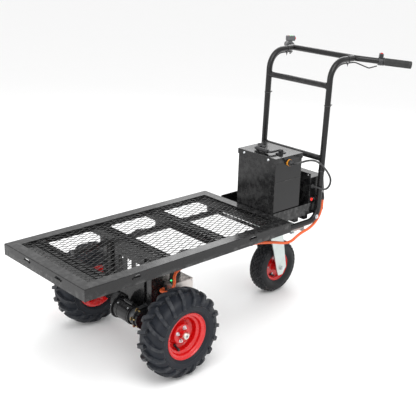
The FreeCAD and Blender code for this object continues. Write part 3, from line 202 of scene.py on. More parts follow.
def rim_paint():
    f = Finish("rim_red_paint", (0.62, 0.004, 0.005), 0.22, Coat_Weight=0.4, Coat_Roughness=0.06)
    cloud = f.noise(14, 4, 0.6)
    f.rough(cloud, 0.18, 0.36)
    f.tint(f.ramp(cloud, 0.45, 0.8, 0.0, 0.35), (0.42, 0.008, 0.012))
    f.tint(f.ramp(f.noise(160, 3, 0.7), 0.66, 0.76, 0.0, 0.5), (0.25, 0.05, 0.03))
    f.bump(f.noise(700, 2), 0.08, 0.0004)
    return f.material


def tyre_rubber(name, colour):
    """Moulded rubber with painted bluish sheen in lighter patches, fine pits and a little pale dust."""
    f = Finish(name, colour, 0.5, Specular_IOR_Level=0.25)
    cloud = f.noise(18, 6, 0.65)
    f.rough(cloud, 0.36, 0.62)
    # painted sheen: lighter bluish patches over the rubber stand in for its bluish sheen
    f.tint(f.ramp(cloud, 0.42, 0.75, 0.0, 0.5), (0.016, 0.020, 0.028))
    f.tint(f.ramp(f.noise(140, 4, 0.75), 0.62, 0.82, 0.0, 0.25), (0.05, 0.048, 0.044))
    f.tint(f.times(f.edges(0.51, 0.58), f.ramp(f.noise(60), 0.4, 0.6)), (0.062, 0.064, 0.068))
    f.bump(f.noise(520, 4, 0.6), 0.25, 0.0005).bump(f.noise(60, 3), 0.15, 0.001)
    return f.material


def zinc_plate(name, colour, low=0.26, high=0.46):
    """Electroplate: cloudy roughness, faint spangle and drawn lines."""
    f = Finish(name, colour, low, 1.0)
    cloud = f.noise(22, 5, 0.6)
    f.rough(cloud, low, high)
    dark = tuple(c * 0.72 for c in colour)
    f.tint(f.ramp(f.cells(240), 0.0, 0.6, 0.0, 0.35), dark)
    f.tint(f.ramp(cloud, 0.5, 0.8, 0.0, 0.5), dark)
    f.bump(f.noise(260, 3, 0.6, (1, 1, 0.12)), 0.10, 0.0004)
    return f.material


def drawn_aluminium():
    """Extruded aluminium with lines along Y."""
    f = Finish("extruded_aluminium", (0.62, 0.58, 0.55), 0.35, 1.0)
    lines = f.noise(900, 3, 0.6, (1, 0.015, 1))
    f.rough(lines, 0.28, 0.52)
    f.tint(f.ramp(lines, 0.45, 0.7, 0.0, 0.5), (0.46, 0.42, 0.40))
    f.tint(f.ramp(f.noise(30, 5), 0.5, 0.75, 0.0, 0.45), (0.52, 0.47, 0.44))
    f.bump(lines, 0.15, 0.0004)
    return f.material


def moulded(name, colour, roughness, grain=1400, coat=0.0):
    """Injection moulded plastic with a fine eroded grain and rubbed edges."""
    f = Finish(name, colour, roughness, Coat_Weight=coat, Coat_Roughness=0.15)
    cloud = f.noise(30, 4, 0.6)
    f.rough(cloud, roughness * 0.85, roughness * 1.2)
    f.tint(f.ramp(cloud, 0.45, 0.8, 0.0, 0.35), tuple(c * 0.75 + 0.01 for c in colour))
    f.tint(f.times(f.edges(), f.ramp(f.noise(120), 0.4, 0.6)), tuple(c * 0.8 + 0.05 for c in colour))
    f.bump(f.cells(grain), 0.12, 0.0003)
    return f.material


def glowing(name, colour, strength):
    f = Finish(name, colour, 0.25, Coat_Weight=0.5, Emission_Color=(*colour, 1), Emission_Strength=strength)
    f.tint(f.ramp(f.noise(400), 0.4, 0.7, 0.0, 0.25), tuple(c * 0.6 for c in colour))
    return f.material


FRAME = powder_coat("frame_black_paint", (0.009, 0.009, 0.0095), 0.17, 0.34)
SHEET = powder_coat("sheet_black_paint", (0.008, 0.008, 0.0085), 0.13, 0.28, 700, 0.35)
MESH_PAINT = powder_coat("mesh_black_paint", (0.010, 0.010, 0.0105), 0.24, 0.42)
MOTOR_PAINT = powder_coat("motor_black_paint", (0.009, 0.009, 0.010), 0.12, 0.3)
RIM = rim_paint()
TYRE = tyre_rubber("drive_tyre_rubber", (0.009, 0.011, 0.016))
CASTER_RUBBER = tyre_rubber("caster_tyre_rubber", (0.010, 0.010, 0.011))
ZINC = zinc_plate("bright_zinc", (0.62, 0.68, 0.66))
BOLT = zinc_plate("silver_bolt", (0.74, 0.76, 0.78), 0.18, 0.34)
GOLD = zinc_plate("yellow_zinc", (0.74, 0.55, 0.24), 0.22, 0.4)
STEEL = zinc_plate("machined_steel", (0.52, 0.52, 0.52), 0.25, 0.42)
CREAM = zinc_plate("hub_bush", (0.86, 0.82, 0.72), 0.3, 0.5)
CAST = zinc_plate("cast_case", (0.16, 0.165, 0.17), 0.4, 0.62)
ALU = drawn_aluminium()
GRIP = moulded("grip_rubber", (0.014, 0.014, 0.014), 0.5, 900)
BLACK = moulded("black_moulding", (0.016, 0.016, 0.018), 0.38)
CABLE = moulded("cable_sheath", (0.011, 0.011, 0.012), 0.36, 800)
POD = moulded("grey_moulding", (0.085, 0.087, 0.09), 0.42, 1400, 0.1)
RED = moulded("red_moulding", (0.62, 0.010, 0.014), 0.28, 1400, 0.4)
ORANGE = moulded("orange_conduit", (0.82, 0.115, 0.012), 0.42)
AMBER = moulded("amber_moulding", (0.86, 0.34, 0.025), 0.32, 1400, 0.3)
BATTERY = moulded("battery_case", (0.08, 0.08, 0.09), 0.5)
GREEN_LIGHT = glowing("green_light", (0.05, 0.9, 0.25), 2.0)
RED_LIGHT = glowing("red_light", (0.9, 0.03, 0.02), 0.6)
WINDOW = moulded("display_window", (0.006, 0.007, 0.009), 0.08, 1800, 0.8)


# ---- Mesh helpers -----------------------------------------------------------------------------
class Shape:
    """Vertices and faces in the row frame, with a material index for each face."""

    def __init__(self):
        self.verts, self.faces, self.slots = [], [], []

    def add(self, verts, faces, slot=0):
        base = len(self.verts)
        self.verts += [tuple(v) for v in verts]
        self.faces += [tuple(i + base for i in face) for face in faces]
        self.slots += [slot] * len(faces)

    def rings(self, rows, slot=0, wrap=True, capped=True, closed=False):
        """Joins equal rows of points; wrap closes each row, closed joins the last row to the first."""
        count = len(rows[0])
        faces = []
        for r in range(len(rows) if closed else len(rows) - 1):
            after = (r + 1) % len(rows)
            for i in range(count if wrap else count - 1):
                j = (i + 1) % count
                faces.append((r * count + i, r * count + j, after * count + j, after * count + i))
        if capped and not closed:
            faces.append(tuple(reversed(range(count))))
            faces.append(tuple(range((len(rows) - 1) * count, len(rows) * count)))
        self.add([p for row in rows for p in row], faces, slot)

    def lathe(self, place, profile, sides=48, slot=0, closed=False, capped=True):
        """profile is (along, radius) in mm about the Z axis of the matrix place."""
        rows = []
        for along, radius in profile:
            rows.append([place @ mm(radius * math.cos(a), radius * math.sin(a), along)
                         for a in (2 * math.pi * i / sides for i in range(sides))])
        self.rings(rows, slot, True, capped, closed)

    def tube(self, line, radius, sides=16, slot=0):
        """A round tube along a line of points; radius in mm is a number or one for each point."""
        across = None
        rows = []
        for i, point in enumerate(line):
            ahead = (line[min(i + 1, len(line) - 1)] - line[max(i - 1, 0)]).normalized()
            if across is None:
                across = ahead.orthogonal().normalized()
            across = (across - ahead * across.dot(ahead)).normalized()
            other = ahead.cross(across)
            r = (radius[i] if isinstance(radius, list) else radius) * MM
            rows.append([point + (across * math.cos(a) + other * math.sin(a)) * r
                         for a in (2 * math.pi * k / sides for k in range(sides))])
        self.rings(rows, slot)

    def prism(self, place, outline, low, high, slot=0):
        """A flat outline in mm in the matrix's XY plane, pushed between two heights."""
        rows = [[place @ mm(x, y, h) for x, y in outline] for h in (low, high)]
        self.rings(rows, slot)

    def block(self, place, x0, x1, y0, y1, z0, z1, slot=0):
        self.prism(place, [(x0, y0), (x1, y0), (x1, y1), (x0, y1)], z0, z1, slot)

    def hexagon(self, place, radius, low, high, slot=0):
        """A hexagon head with a chamfered outer face."""
        def row(r, h):
            return [place @ mm(r * math.cos(a), r * math.sin(a), h)
                    for a in (math.pi / 3 * i for i in range(6))]
        self.rings([row(radius, low), row(radius, high - radius * 0.1), row(radius * 0.88, high)], slot)

    def mesh(self, name, materials, body, replaces=(), bevel=0.0, angle=35):
        data = bpy.data.meshes.new(name)
        data.from_pydata(self.verts, [], self.faces)
        for material in materials:
            data.materials.append(material)
        data.polygons.foreach_set("material_index", self.slots)
        shape = bmesh.new()
        shape.from_mesh(data)
        bmesh.ops.recalc_face_normals(shape, faces=shape.faces)
        shape.to_mesh(data)
        shape.free()
        piece = bpy.data.objects.new(name, data)
        SCENE.collection.objects.link(piece)
        soften(piece, bevel, angle)
        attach(piece, body)
        if replaces:
            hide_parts(*replaces)
        return piece


def soften(piece, bevel, angle=35, weld=False):
    """Smooth shading with broken edges; bevel in mm."""
    piece.data.polygons.foreach_set("use_smooth", [True] * len(piece.data.polygons))
    if weld:
        join = piece.modifiers.new("weld", "WELD")
        join.merge_threshold = 0.00002
    if bevel:
        edge = piece.modifiers.new("bevel", "BEVEL")
        edge.width, edge.segments, edge.limit_method = bevel * MM, 2, "ANGLE"
        edge.angle_limit = math.radians(angle)
        edge.use_clamp_overlap = True
        edge.miter_outer = "MITER_ARC"
    normal = piece.modifiers.new("normals", "WEIGHTED_NORMAL")
    normal.keep_sharp = False
    normal.weight = 80


def aimed(origin, direction, hint=Z):
    """A matrix with its origin at a point in mm and its Z axis along direction."""
    ahead = Vector(direction).normalized()
    side = (hint - ahead * hint.dot(ahead))
    side = side.normalized() if side.length > 1e-3 else ahead.orthogonal().normalized()
    turn = Matrix((side, ahead.cross(side), ahead)).transposed().to_4x4()
    return Matrix.Translation(Vector(origin) * MM) @ turn


def catmull(points, steps=6):
    """A smooth line through 2D profile points."""
    line = []
    for i in range(len(points) - 1):
        p = [points[max(0, min(len(points) - 1, i + k))] for k in (-1, 0, 1, 2)]
        for s in range(steps):
            t = s / steps
            line.append(tuple(0.5 * ((2 * p[1][c]) + (p[2][c] - p[0][c]) * t
                                     + (2 * p[0][c] - 5 * p[1][c] + 4 * p[2][c] - p[3][c]) * t * t
                                     + (3 * p[1][c] - p[0][c] - 3 * p[2][c] + p[3][c]) * t ** 3)
                              for c in range(2)))
    line.append(tuple(points[-1]))
    return line


# ---- Cords ------------------------------------------------------------------------------------
LEAD_R, CONDUIT_R = 4.3, 6.0
LEAD_ROUTE = [(-284, 173.5, 656), (-287, 195, 661), (-315, 207, 669), (-352, 207, 667),
              (-391, 202, 656), (-428, 198, 637), (-464, 197, 608), (-495, 197, 575),
              (-510, 197, 548), (-502, 197, 521), (-477, 196, 511), (-451, 187, 520),
              (-444, 158, 522)]
CONDUIT_ROUTE = [(-493, 173, 459), (-492, 173, 423), (-478, 174, 386), (-446, 175, 358), (-404, 180, 346),
                 (-360, 186, 344), (-326, 188, 337), (-294, 189, 322), (-262, 189, 320), (-226, 189, 328),
                 (-180, 189, 343), (-130, 189.2, 355), (-84, 189.3, 365), (-34, 189.1, 371),
                 (86, 189.5, 373), (200, 189.1, 371), (290, 189.4, 372), (340, 191, 369), (367, 198, 354),
                 (369, 205, 328), (379, 207, 305), (396, 199, 294), (404, 181, 291), (402, 158, 291),
                 (375, 158, 291)]


def route_curve(name, route, radius):
    data = bpy.data.curves.new(name, "CURVE")
    data.dimensions, data.bevel_depth, data.bevel_resolution = "3D", radius * MM, 5
    data.use_fill_caps = True
    data.resolution_u = 10
    spline = data.splines.new("NURBS")
    spline.points.add(len(route) - 1)
    for point, place in zip(spline.points, route):
        point.co = (*mm(*place), 1)
    spline.order_u = 3
    spline.use_endpoint_u = True
    curve = bpy.data.objects.new(name, data)
    SCENE.collection.objects.link(curve)
    return curve


def route_line(route):
    """The smooth line of a route, as points along its NURBS curve."""
    curve = route_curve("route_probe", route, 0)
    line = [v.co.copy() for v in bpy.data.meshes.new_from_object(curve).vertices]
    bpy.data.objects.remove(curve)
    return line


def resampled(line, pitch):
    """Points every pitch metres along a line."""
    out, carry = [line[0].copy()], 0.0
    for a, b in zip(line, line[1:]):
        span = (b - a).length
        at = pitch - carry
        while at <= span:
            out.append(a.lerp(b, at / span))
            at += pitch
        carry = span - (at - pitch)
    out.append(line[-1].copy())
    return out


def make_cords():
    lead_line = route_line(LEAD_ROUTE)
    lead = route_curve("battery_lead_cord", LEAD_ROUTE, LEAD_R)
    lead.data.materials.append(CABLE)
    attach(lead, "chassis")
    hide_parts("battery_lead")
    line = resampled(route_line(CONDUIT_ROUTE), 0.8 * MM)
    ridges = [CONDUIT_R - (0.0, 0.25, 0.8, 0.25)[i % 4] for i in range(len(line))]
    ridges[0] = ridges[-1] = CONDUIT_R
    shape = Shape()
    shape.tube(line, ridges, 14)
    conduit = shape.mesh("orange_wiring_conduit", [ORANGE], "chassis", ["wiring_conduit"])


# ---- CAD parts that show as they are ------------------------------------------------------------
KEPT = {
    "bed_front_angle": (FRAME, 0.9), "bed_rear_angle": (FRAME, 0.9), "bed_left_angle": (FRAME, 0.9),
    "bed_right_angle": (FRAME, 0.9), "crossmembers": (FRAME, 0.8), "left_handle_tube": (FRAME, 0.3),
    "right_handle_tube": (FRAME, 0.3), "handlebar": (FRAME, 0.3), "handle_crossbars": (FRAME, 0.3),
    "switch_housing": (BLACK, 0.4), "direction_rocker": (RED, 0.4), "throttle_housing": (POD, 0.5),
    "charge_display": (WINDOW, 0.3), "power_button": (RED, 0.4), "throttle_lever": (BLACK, 0.6),
    "handle_cables": (CABLE, 0.0), "cable_ties": (BLACK, 0.2), "conduit_boot": (BLACK, 0.5),
    "battery_tray": (SHEET, 0.7), "battery_case": (SHEET, 0.4), "battery_lid": (SHEET, 0.5),
    "carry_brackets": (BLACK, 0.6), "carry_handle": (BLACK, 0.4), "batteries": (BATTERY, 0.6),
    "battery_socket": (AMBER, 0.5), "battery_plug": (BLACK, 0.6), "power_box_case": (SHEET, 0.4),
    "power_box_cover": (SHEET, 0.5), "main_switch": (RED_LIGHT, 0.6), "charge_port": (BLACK, 0.4),
    "charger": (CAST, 0.6), "axle_posts": (FRAME, 0.7), "axle_tubes": (FRAME, 0.6),
    "shaft_bearings": (STEEL, 0.3), "gear_case": (CAST, 0.9), "gear_cover": (MOTOR_PAINT, 0.9),
    "motor_barrel": (MOTOR_PAINT, 0.7), "motor_end_cap": (MOTOR_PAINT, 0.7), "motor_rotor": (STEEL, 0.3),
    "differential": (STEEL, 0.2), "controller_case": (ALU, 0.6), "caster_mount_plate": (ZINC, 0.7),
    "caster_fork": (ZINC, 0.9), "caster_axle": (BOLT, 0.7), "fasteners": (GOLD, 0.4),
}


def dress_kept_parts():
    for node, (material, bevel) in KEPT.items():
        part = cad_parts[node]
        part.data.materials.clear()
        part.data.materials.append(material)
        soften(part, bevel, 38, True)


# ---- Deck ---------------------------------------------------------------------------------------
DIAMOND_X, DIAMOND_Y = 50.0, 22.0       # mm, pitch of the expanded mesh
STRAND_W, STRAND_T = 4.6, 1.5           # mm, strand width and sheet thickness


def expanded_mesh():
    """Staggered diamonds: twisted strands that meet at flat bonds."""
    low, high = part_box("deck_mesh")
    middle, z = (low.x + high.x) / 2 / MM, (low.z + high.z) / 2 / MM
    half_x, half_y = (high.x - low.x) / 2 / MM, (high.y - low.y) / 2 / MM
    columns, rows = int(half_x / (DIAMOND_X / 2)), int(half_y / (DIAMOND_Y / 2))
    shape = Shape()
    stations = [(0.0, 0.0), (0.16, 0.12), (0.38, 0.40), (0.62, 0.60), (0.84, 0.88), (1.0, 1.0)]
    for i in range(-columns, columns):
        for j in range(-rows, rows + 1):
            if (i + j) % 2:
                continue
            for step in (1, -1):
                if abs(j + step) > rows:
                    continue
                x0, y0 = middle + i * DIAMOND_X / 2, j * DIAMOND_Y / 2
                section = []
                for share_x, share_y in stations:
                    x, y = x0 + share_x * DIAMOND_X / 2, y0 + step * share_y * DIAMOND_Y / 2
                    lean = math.radians(8 + 26 * math.sin(math.pi * share_x))
                    run = Vector((DIAMOND_X, step * DIAMOND_Y * (0.2 + 1.6 * math.sin(math.pi * share_x)), 0))
                    run.normalize()
                    flat = Z.cross(run)
                    wide = flat * math.cos(lean) + Z * math.sin(lean)
                    thick = run.cross(wide)
                    jig = DICE.uniform(-0.12, 0.12)
                    centre = Vector((x, y + jig, z))
                    section.append([(centre + wide * (a * STRAND_W / 2) + thick * (b * STRAND_T / 2)) * MM
                                    for a, b in ((-1, -1), (1, -1), (1, 1), (-1, 1))])
                shape.rings(section)
    return shape.mesh("expanded_deck", [MESH_PAINT], "chassis", ["deck_mesh"])


# ---- Wheels -------------------------------------------------------------------------------------
LUGS = 18                               # on each side of the drive tread
LUG_SKEW = 13.0                         # degrees that a lug runs round the tyre on its way out
DRIVE_TOP, DRIVE_FLOOR = 168.0, 155.5   # mm, radius at the lugs and between them


def wheel_place(node, side=1):
    """The wheel's centre, with Z along the axle away from the machine and Y forward."""
    low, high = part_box(node)
    centre = (low + high) / 2
    turn = Matrix((Z, Y.cross(Z), Y)).transposed().to_4x4() if side > 0 else \
        Matrix((Z, (-Y).cross(Z), -Y)).transposed().to_4x4()
    return Matrix.Translation(centre) @ turn


def turned_about(place, side, theta, along, radius):
    """A point at an angle about +Y, whichever side the wheel is on."""
    return place @ mm(radius * math.cos(theta), side * radius * math.sin(theta), along)


DRIVE_SECTION = catmull([(0, DRIVE_FLOOR), (16, 155.2), (32, 153), (44, 147.5), (52, 139), (56.5, 128),
                         (58.3, 116), (57, 105), (53.5, 97.5), (49, 93)], 5)
DRIVE_BEAD = [(47.5, 91), (44, 90), (40, 85), (36, 79)]


def lug(shape, place, side, theta, row):
    """A bar from the middle of the tread out over the shoulder, with sloping flanks and a step at its end."""
    top_slot = 0
    section = [p for p in DRIVE_SECTION if p[1] > 121]
    section = section[::2] + [section[-1]]
    rows = []
    for k, (along, radius) in enumerate(section):
        before, after = section[max(k - 1, 0)], section[min(k + 1, len(section) - 1)]
        slope = Vector((after[0] - before[0], after[1] - before[1])).normalized()
        out = Vector((-slope.y, slope.x))
        out = out if out.y > 0 or out.x > 0 else -out
        share = k / (len(section) - 1)
        height = (DRIVE_TOP - DRIVE_FLOOR) * (1 - 0.62 * share ** 1.6)
        height = min(height, 12.2)
        half_top, half_base = 7.0 - 1.2 * share, 9.6 - 1.6 * share
        turn = theta + math.radians(LUG_SKEW) * min(1.0, share * 1.15) ** 0.85
        start = -3.0 if k == 0 else along
        ring = []
        for spread, lift in ((-half_base, -2.0), (-half_top, height), (half_top, height), (half_base, -2.0)):
            a, r = start + out.x * lift, radius + out.y * lift
            ring.append(turned_about(place, side, turn + spread / radius, row * a, r))
        rows.append(ring)
    shape.rings(rows, top_slot)


def drive_tyre(name, side):
    place = wheel_place(name, side)
    half = DRIVE_SECTION + DRIVE_BEAD
    profile = [(-a, r) for a, r in reversed(half)] + half[1:]
    inner = [(36, 77), (38, 96), (47, 110), (48, 126), (40, 142), (0, 148)]
    profile += inner + [(-a, r) for a, r in reversed(inner[:-1])]
    shape = Shape()
    shape.lathe(place, profile, 108, 0, closed=True)
    for i in range(LUGS):
        for row, phase in ((1, 0.0), (-1, 0.5)):
            lug(shape, place, side, 2 * math.pi * (i + phase) / LUGS, row)
    for along, radius, width in ((55.9, 103.0, 1.6), (58.4, 119.5, 0.9)):
        for s in (1, -1):
            bead = [(s * (along - 1.5), radius - width * 1.6), (s * (along + 0.9), radius - width * 0.5),
                    (s * (along + 0.9), radius + width * 0.5), (s * (along - 1.5), radius + width * 1.6)]
            shape.lathe(place, bead, 108, 0, closed=True)
    shape.mesh(name + "_lugged", [TYRE], name.replace("tyre", "wheel"), [name], 1.4, 40)


def drive_rim(name, side):
    """Red pressed rim: rolled lip, well, dished disc and the hub tube welded in it."""
    place = wheel_place(name, side)
    outside = catmull([(47, 90), (46.5, 87.6), (43, 85.6), (40.5, 81.5), (39, 77), (35, 75), (28, 74),
                       (24.5, 70), (22, 64.5), (14, 63), (6, 62), (1, 58), (-1.5, 54), (-4.5, 49), (0, 45),
                       (10, 40.5), (17, 38), (20, 35), (20, 21)], 4)
    hub = [(20, 17.5), (36, 17.2), (37.5, 16.4), (37.5, 13)]
    back = [(16, 13), (16, 36), (-10.5, 48), (-6.5, 60), (-26, 61), (-34, 71), (-39, 73), (-42, 81),
            (-46, 84),
            (-47, 88.5), (-46, 90), (-43.5, 89.6), (-39, 84.5), (-36, 76.5), (-32, 74.5), (-24, 64.5),
            (2, 64.5), (19, 67.5), (25, 77.5), (36, 79), (39, 84.2), (43.5, 89.6), (45.6, 91)]
    shape = Shape()
    shape.lathe(place, outside + hub + back, 96, 0, closed=True)
    body = name.replace("rim", "wheel")
    shape.mesh(name + "_pressed", [RIM], body, [name])


BOLT_CIRCLE = 25.0                      # mm, radius of the four disc bolts
DISC_FACE = 20.0                        # mm, outer face of the rim disc from the wheel's middle


def drive_hub(side_name, side):
    """Half shaft, its bush and nut, the disc bolts and the valve."""
    place = wheel_place(side_name + "_rim", side)
    shape = Shape()
    low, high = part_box(side_name + "_half_shaft")
    centre = (place @ Vector((0, 0, 0))).y
    inner = side * ((low.y if side > 0 else high.y) - centre) / MM
    outer = 46.0
    shape.lathe(place, [(inner, 9.2), (inner + 0.8, 10), (outer - 6, 10), (outer - 6, 8.2),
                        (outer - 0.8, 8.2),
                        (outer, 7.4), (outer, 3.2), (outer - 5, 2.8), (outer - 5, 0.01)], 40, 0, capped=False)
    shape.lathe(place, [(15.8, 10), (15.8, 31), (15, 32), (9, 32), (6, 20), (-56, 17), (-56, 10)], 56, 0,
                closed=True)
    shape.lathe(place, [(37.6, 9.6), (37.6, 13.4), (38.2, 14.0), (43.0, 12.4), (45.4, 10.6), (45.4, 7.6),
                        (44.0, 7.2)], 48, 1, closed=True)
    for i in range(4):
        angle = math.radians(90 * i + 20)
        seat = place @ Matrix.Translation(mm(BOLT_CIRCLE * math.sin(angle),
                                             side * BOLT_CIRCLE * math.cos(angle), DISC_FACE))
        shape.lathe(seat, [(0, 3.4), (0, 8.2), (1.4, 8.2), (1.4, 3.4)], 28, 2, closed=True)
        shape.hexagon(seat, 6.2, 1.4, 6.6, 2)
        shape.lathe(seat, [(6.6, 3.0), (10.0, 3.0), (10.6, 2.4), (10.6, 0.01)], 20, 2, capped=False)
    angle = math.radians(160)
    at = Matrix.Translation(mm(52 * math.cos(angle), side * 52 * math.sin(angle), -4))
    lean = Matrix.Rotation(math.radians(14), 4, Vector((-side * math.sin(angle), math.cos(angle), 0)))
    valve = place @ at @ lean
    shape.lathe(valve, [(0, 6.5), (5, 6.5), (8, 4.2), (22, 3.9), (23, 4.9), (31, 4.7), (33, 3.6), (33, 0.01)],
                24, 3, capped=False)
    shape.mesh(side_name + "_hub", [STEEL, CREAM, BOLT, BLACK], side_name + "_wheel",
               [side_name + "_half_shaft", side_name + "_wheel_fittings"], 0.3)


CASTER_BLOCKS = 34                      # tread blocks round the caster tyre in each row


def caster_tyre():
    """Small pneumatic tyre with rows of staggered diamond blocks."""
    place = wheel_place("caster_tyre")
    section = catmull([(0, 119), (12, 118.4), (22, 115.8), (30, 110.5), (35.5, 102.5), (38, 93), (38, 84),
                       (35, 75.5), (31.5, 70), (29.5, 67)], 5)
    half = section + [(28, 66), (21, 63), (19.5, 57.5)]
    inner = [(18, 56), (20, 68), (30, 84), (28, 100), (18, 110), (0, 113)]
    profile = [(-a, r) for a, r in reversed(half)] + half[1:] + inner
    profile += [(-a, r) for a, r in reversed(inner[:-1])]
    shape = Shape()
    shape.lathe(place, profile, 96, 0, closed=True)
    rows = [(0.0, 0.0, 5.4), (9.6, 0.5, 5.0), (18.6, 0.0, 4.8), (26.4, 0.5, 4.6), (32.6, 0.0, 4.4)]
    for along, phase, half_length in rows:
        for s in ((1,) if along == 0 else (1, -1)):
            near = min(section, key=lambda p: abs(p[0] - along))
            k = section.index(near)
            after, before = section[min(k + 1, len(section) - 1)], section[max(k - 1, 0)]
            slope = Vector((after[0] - before[0], after[1] - before[1])).normalized()
            out = Vector((-slope.y, slope.x)) if k else Vector((0, 1))
            out = out if out.y > 0 else -out
            for i in range(CASTER_BLOCKS):
                theta = 2 * math.pi * (i + phase) / CASTER_BLOCKS
                layers = []
                for lift, grow in ((-1.5, 1.15), (3.2, 0.9), (3.9, 0.74)):
                    ring = []
                    for round_share, across_share in ((-1, 0), (0, -1), (1, 0), (0, 1)):
                        spread = round_share * 9.4 * grow
                        shift = across_share * half_length * grow * 1.15
                        a = near[0] + slope.x * shift + out.x * lift
                        r = near[1] + slope.y * shift + out.y * lift
                        ring.append(turned_about(place, 1, theta + spread / r, s * a, r))
                    layers.append(ring)
                shape.rings(layers)
    shape.mesh("caster_tyre_blocked", [CASTER_RUBBER], "caster_wheel", ["caster_tyre"], 0.5, 30)


def caster_rim():
    place = wheel_place("caster_rim")
    outside = catmull([(29, 66), (28.5, 63.5), (24.5, 61.5), (22.5, 56.5), (16, 54), (10, 50), (7, 42),
                       (5, 32),
                       (6, 24), (10, 20.5)], 4)
    hub = [(33, 20.2), (34, 19.4), (34, 15.6)]
    shape = Shape()
    outer = outside + hub
    profile = outer + [(-a, r) for a, r in reversed(hub)]
    profile += [(-8, 20.5), (2, 26), (3, 40), (-4, 52), (-16, 54.5)]
    profile += [(-22.5, 57), (-24.5, 61.5), (-28.5, 63.5), (-29, 66), (-27, 66), (-21, 63.6), (-19.5, 58.2),
                (-13, 56.2), (13, 56.2), (19.5, 58.2), (21, 63.6), (27, 66)]
    shape.lathe(place, profile, 80, 0, closed=True)
    for s in (1, -1):
        shape.lathe(place, [(s * 27.5, 6.2), (s * 27.5, 15.5), (s * 34.3, 15.5), (s * 34.3, 12.6),
                            (s * 33.2, 12.2),
                            (s * 33.2, 9.4), (s * 34.3, 9.0), (s * 34.3, 6.2)], 40, 1, closed=True)
    for i in range(5):
        angle = 2 * math.pi * i / 5 + 0.3
        seat = place @ Matrix.Translation(mm(40 * math.cos(angle), 40 * math.sin(angle), 8.0))
        shape.hexagon(seat, 5.4, -1.5, 4.2, 2)
        shape.lathe(seat, [(4.2, 2.6), (7.0, 2.6), (7.6, 2.0), (7.6, 0.01)], 16, 2, capped=False)
    seat = place @ Matrix.Translation(mm(-40, 24, 7)) @ Matrix.Rotation(math.radians(12), 4, "X")
    shape.lathe(seat, [(0, 4.6), (6, 4.2), (16, 3.2), (16.6, 4.2), (24, 4.0), (25, 3.0), (25, 0.01)], 20, 3,
                capped=False)
    shape.mesh("caster_rim_pressed", [RIM, STEEL, BOLT, BLACK], "caster_wheel",
               ["caster_rim"], 0.3)


# ---- Grips --------------------------------------------------------------------------------------
BAR_SWEEP, BAR_DROP = math.radians(43), math.radians(5)
SWEEP_CORNER = (-638.4, 182.0, 1054.0)  # mm, where the left end of the bar turns back
GRIP_START, GRIP_LENGTH = 108.0, 119.0


def bar_way(side):
    return Vector((-math.sin(BAR_SWEEP) * math.cos(BAR_DROP), side * math.cos(BAR_SWEEP) * math.cos(BAR_DROP),
                   -math.sin(BAR_DROP)))


def bar_at(distance, side):
    """A point in mm along the swept end of the bar."""
    x, y, z = SWEEP_CORNER
    return Vector((x, side * y, z)) + bar_way(side) * distance


def grip(name, side):
    """Rubber sleeve: flange, long ridges that stop short of smooth bands, and a drilled end cap."""
    place = aimed(bar_at(GRIP_START, side), bar_way(side))
    ridges, sides = 28, 224
    def row(along, radius, depth):
        ring = []
        for i in range(sides):
            wave = max(0.0, math.cos(math.pi * 2 * ridges * i / sides))
            r = radius - depth * (1 - wave ** 0.6)
            angle = 2 * math.pi * i / sides
            ring.append(place @ mm(r * math.cos(angle), r * math.sin(angle), along))
        return ring
    end = GRIP_LENGTH
    spec = [(0.0, 12.7, 0), (0.0, 16.6, 0), (0.9, 17.4, 0), (3.2, 17.4, 0), (4.4, 16.4, 0), (5.4, 15.4, 0),
            (8.0, 15.2, 0), (10.0, 15.5, 0.2), (12.0, 15.7, 1.0), (34, 15.6, 1.0), (58, 15.8, 1.0),
            (84, 15.6, 1.0), (end - 14, 15.7, 1.0), (end - 12, 15.5, 0.2), (end - 10, 15.4, 0),
            (end - 7, 15.7, 0), (end - 4, 15.9, 0), (end - 1.5, 15.0, 0), (end - 0.3, 13.4, 0),
            (end, 11.6, 0),
            (end, 6.2, 0), (end - 1.6, 5.4, 0), (end - 1.6, 2.6, 0), (end - 4, 2.2, 0), (end - 4, 0.01, 0)]
    shape = Shape()
    shape.rings([row(*s) for s in spec], capped=False)
    shape.mesh(name + "_ribbed", [GRIP], "chassis", [name])


# ---- Fasteners and small fittings ---------------------------------------------------------------
def hex_bolt(shape, place, radius, height, slot=0, washer=True):
    """A hexagon head on a washer, with its dished top; Z of place points out of the surface."""
    base = 0.0
    if washer:
        shape.lathe(place, [(0, 0.4 * radius), (0, 1.55 * radius), (0.9, 1.6 * radius), (1.2, 1.5 * radius),
                            (1.2, 0.4 * radius)], 28, slot, closed=True)
        base = 1.2
    shape.hexagon(place, radius, base, base + height, slot)
    shape.lathe(place, [(base + height - 0.2, 0.72 * radius), (base + height + 0.25, 0.7 * radius),
                        (base + height + 0.25, 0.5 * radius), (base + height - 0.1, 0.45 * radius),
                        (base + height - 0.1, 0.01)], 24, slot, capped=False)


def dome_screw(shape, place, radius, slot=0):
    """A button head with a hexagon socket."""
    profile = [(0, radius)] + [(radius * 0.62 * math.sin(a), radius * math.cos(a))
                               for a in (math.radians(d) for d in (12, 28, 44, 58))]
    top = profile[-1][0]
    shape.lathe(place, profile + [(top + 0.15, radius * 0.42), (top - 1.0, radius * 0.36), (top - 1.0, 0.01)],
                26, slot, capped=False)


def cross_screw(shape, place, radius, slot=0):
    """A pan head with a crossed recess."""
    shape.lathe(place, [(0, radius), (radius * 0.35, radius), (radius * 0.55, radius * 0.8),
                        (radius * 0.62, 0.01)], 22, slot, capped=False)
    for turn in (0, math.pi / 2):
        cross = place @ Matrix.Rotation(turn, 4, "Z")
        shape.block(cross, -radius * 0.6, radius * 0.6, -radius * 0.11, radius * 0.11, radius * 0.45,
                    radius * 0.68, slot)


MOTOR_AXIS = (474.3, 190.0)             # mm, x and z of the motor's axis
WHEEL_AXIS = (407.5, 168.0)
RUNGS = ((-483.3, 951), (-475.2, 643))   # mm, x and z of the rungs where they meet the uprights
SOCKET = (-284, 656)                    # mm, x and z of the battery socket


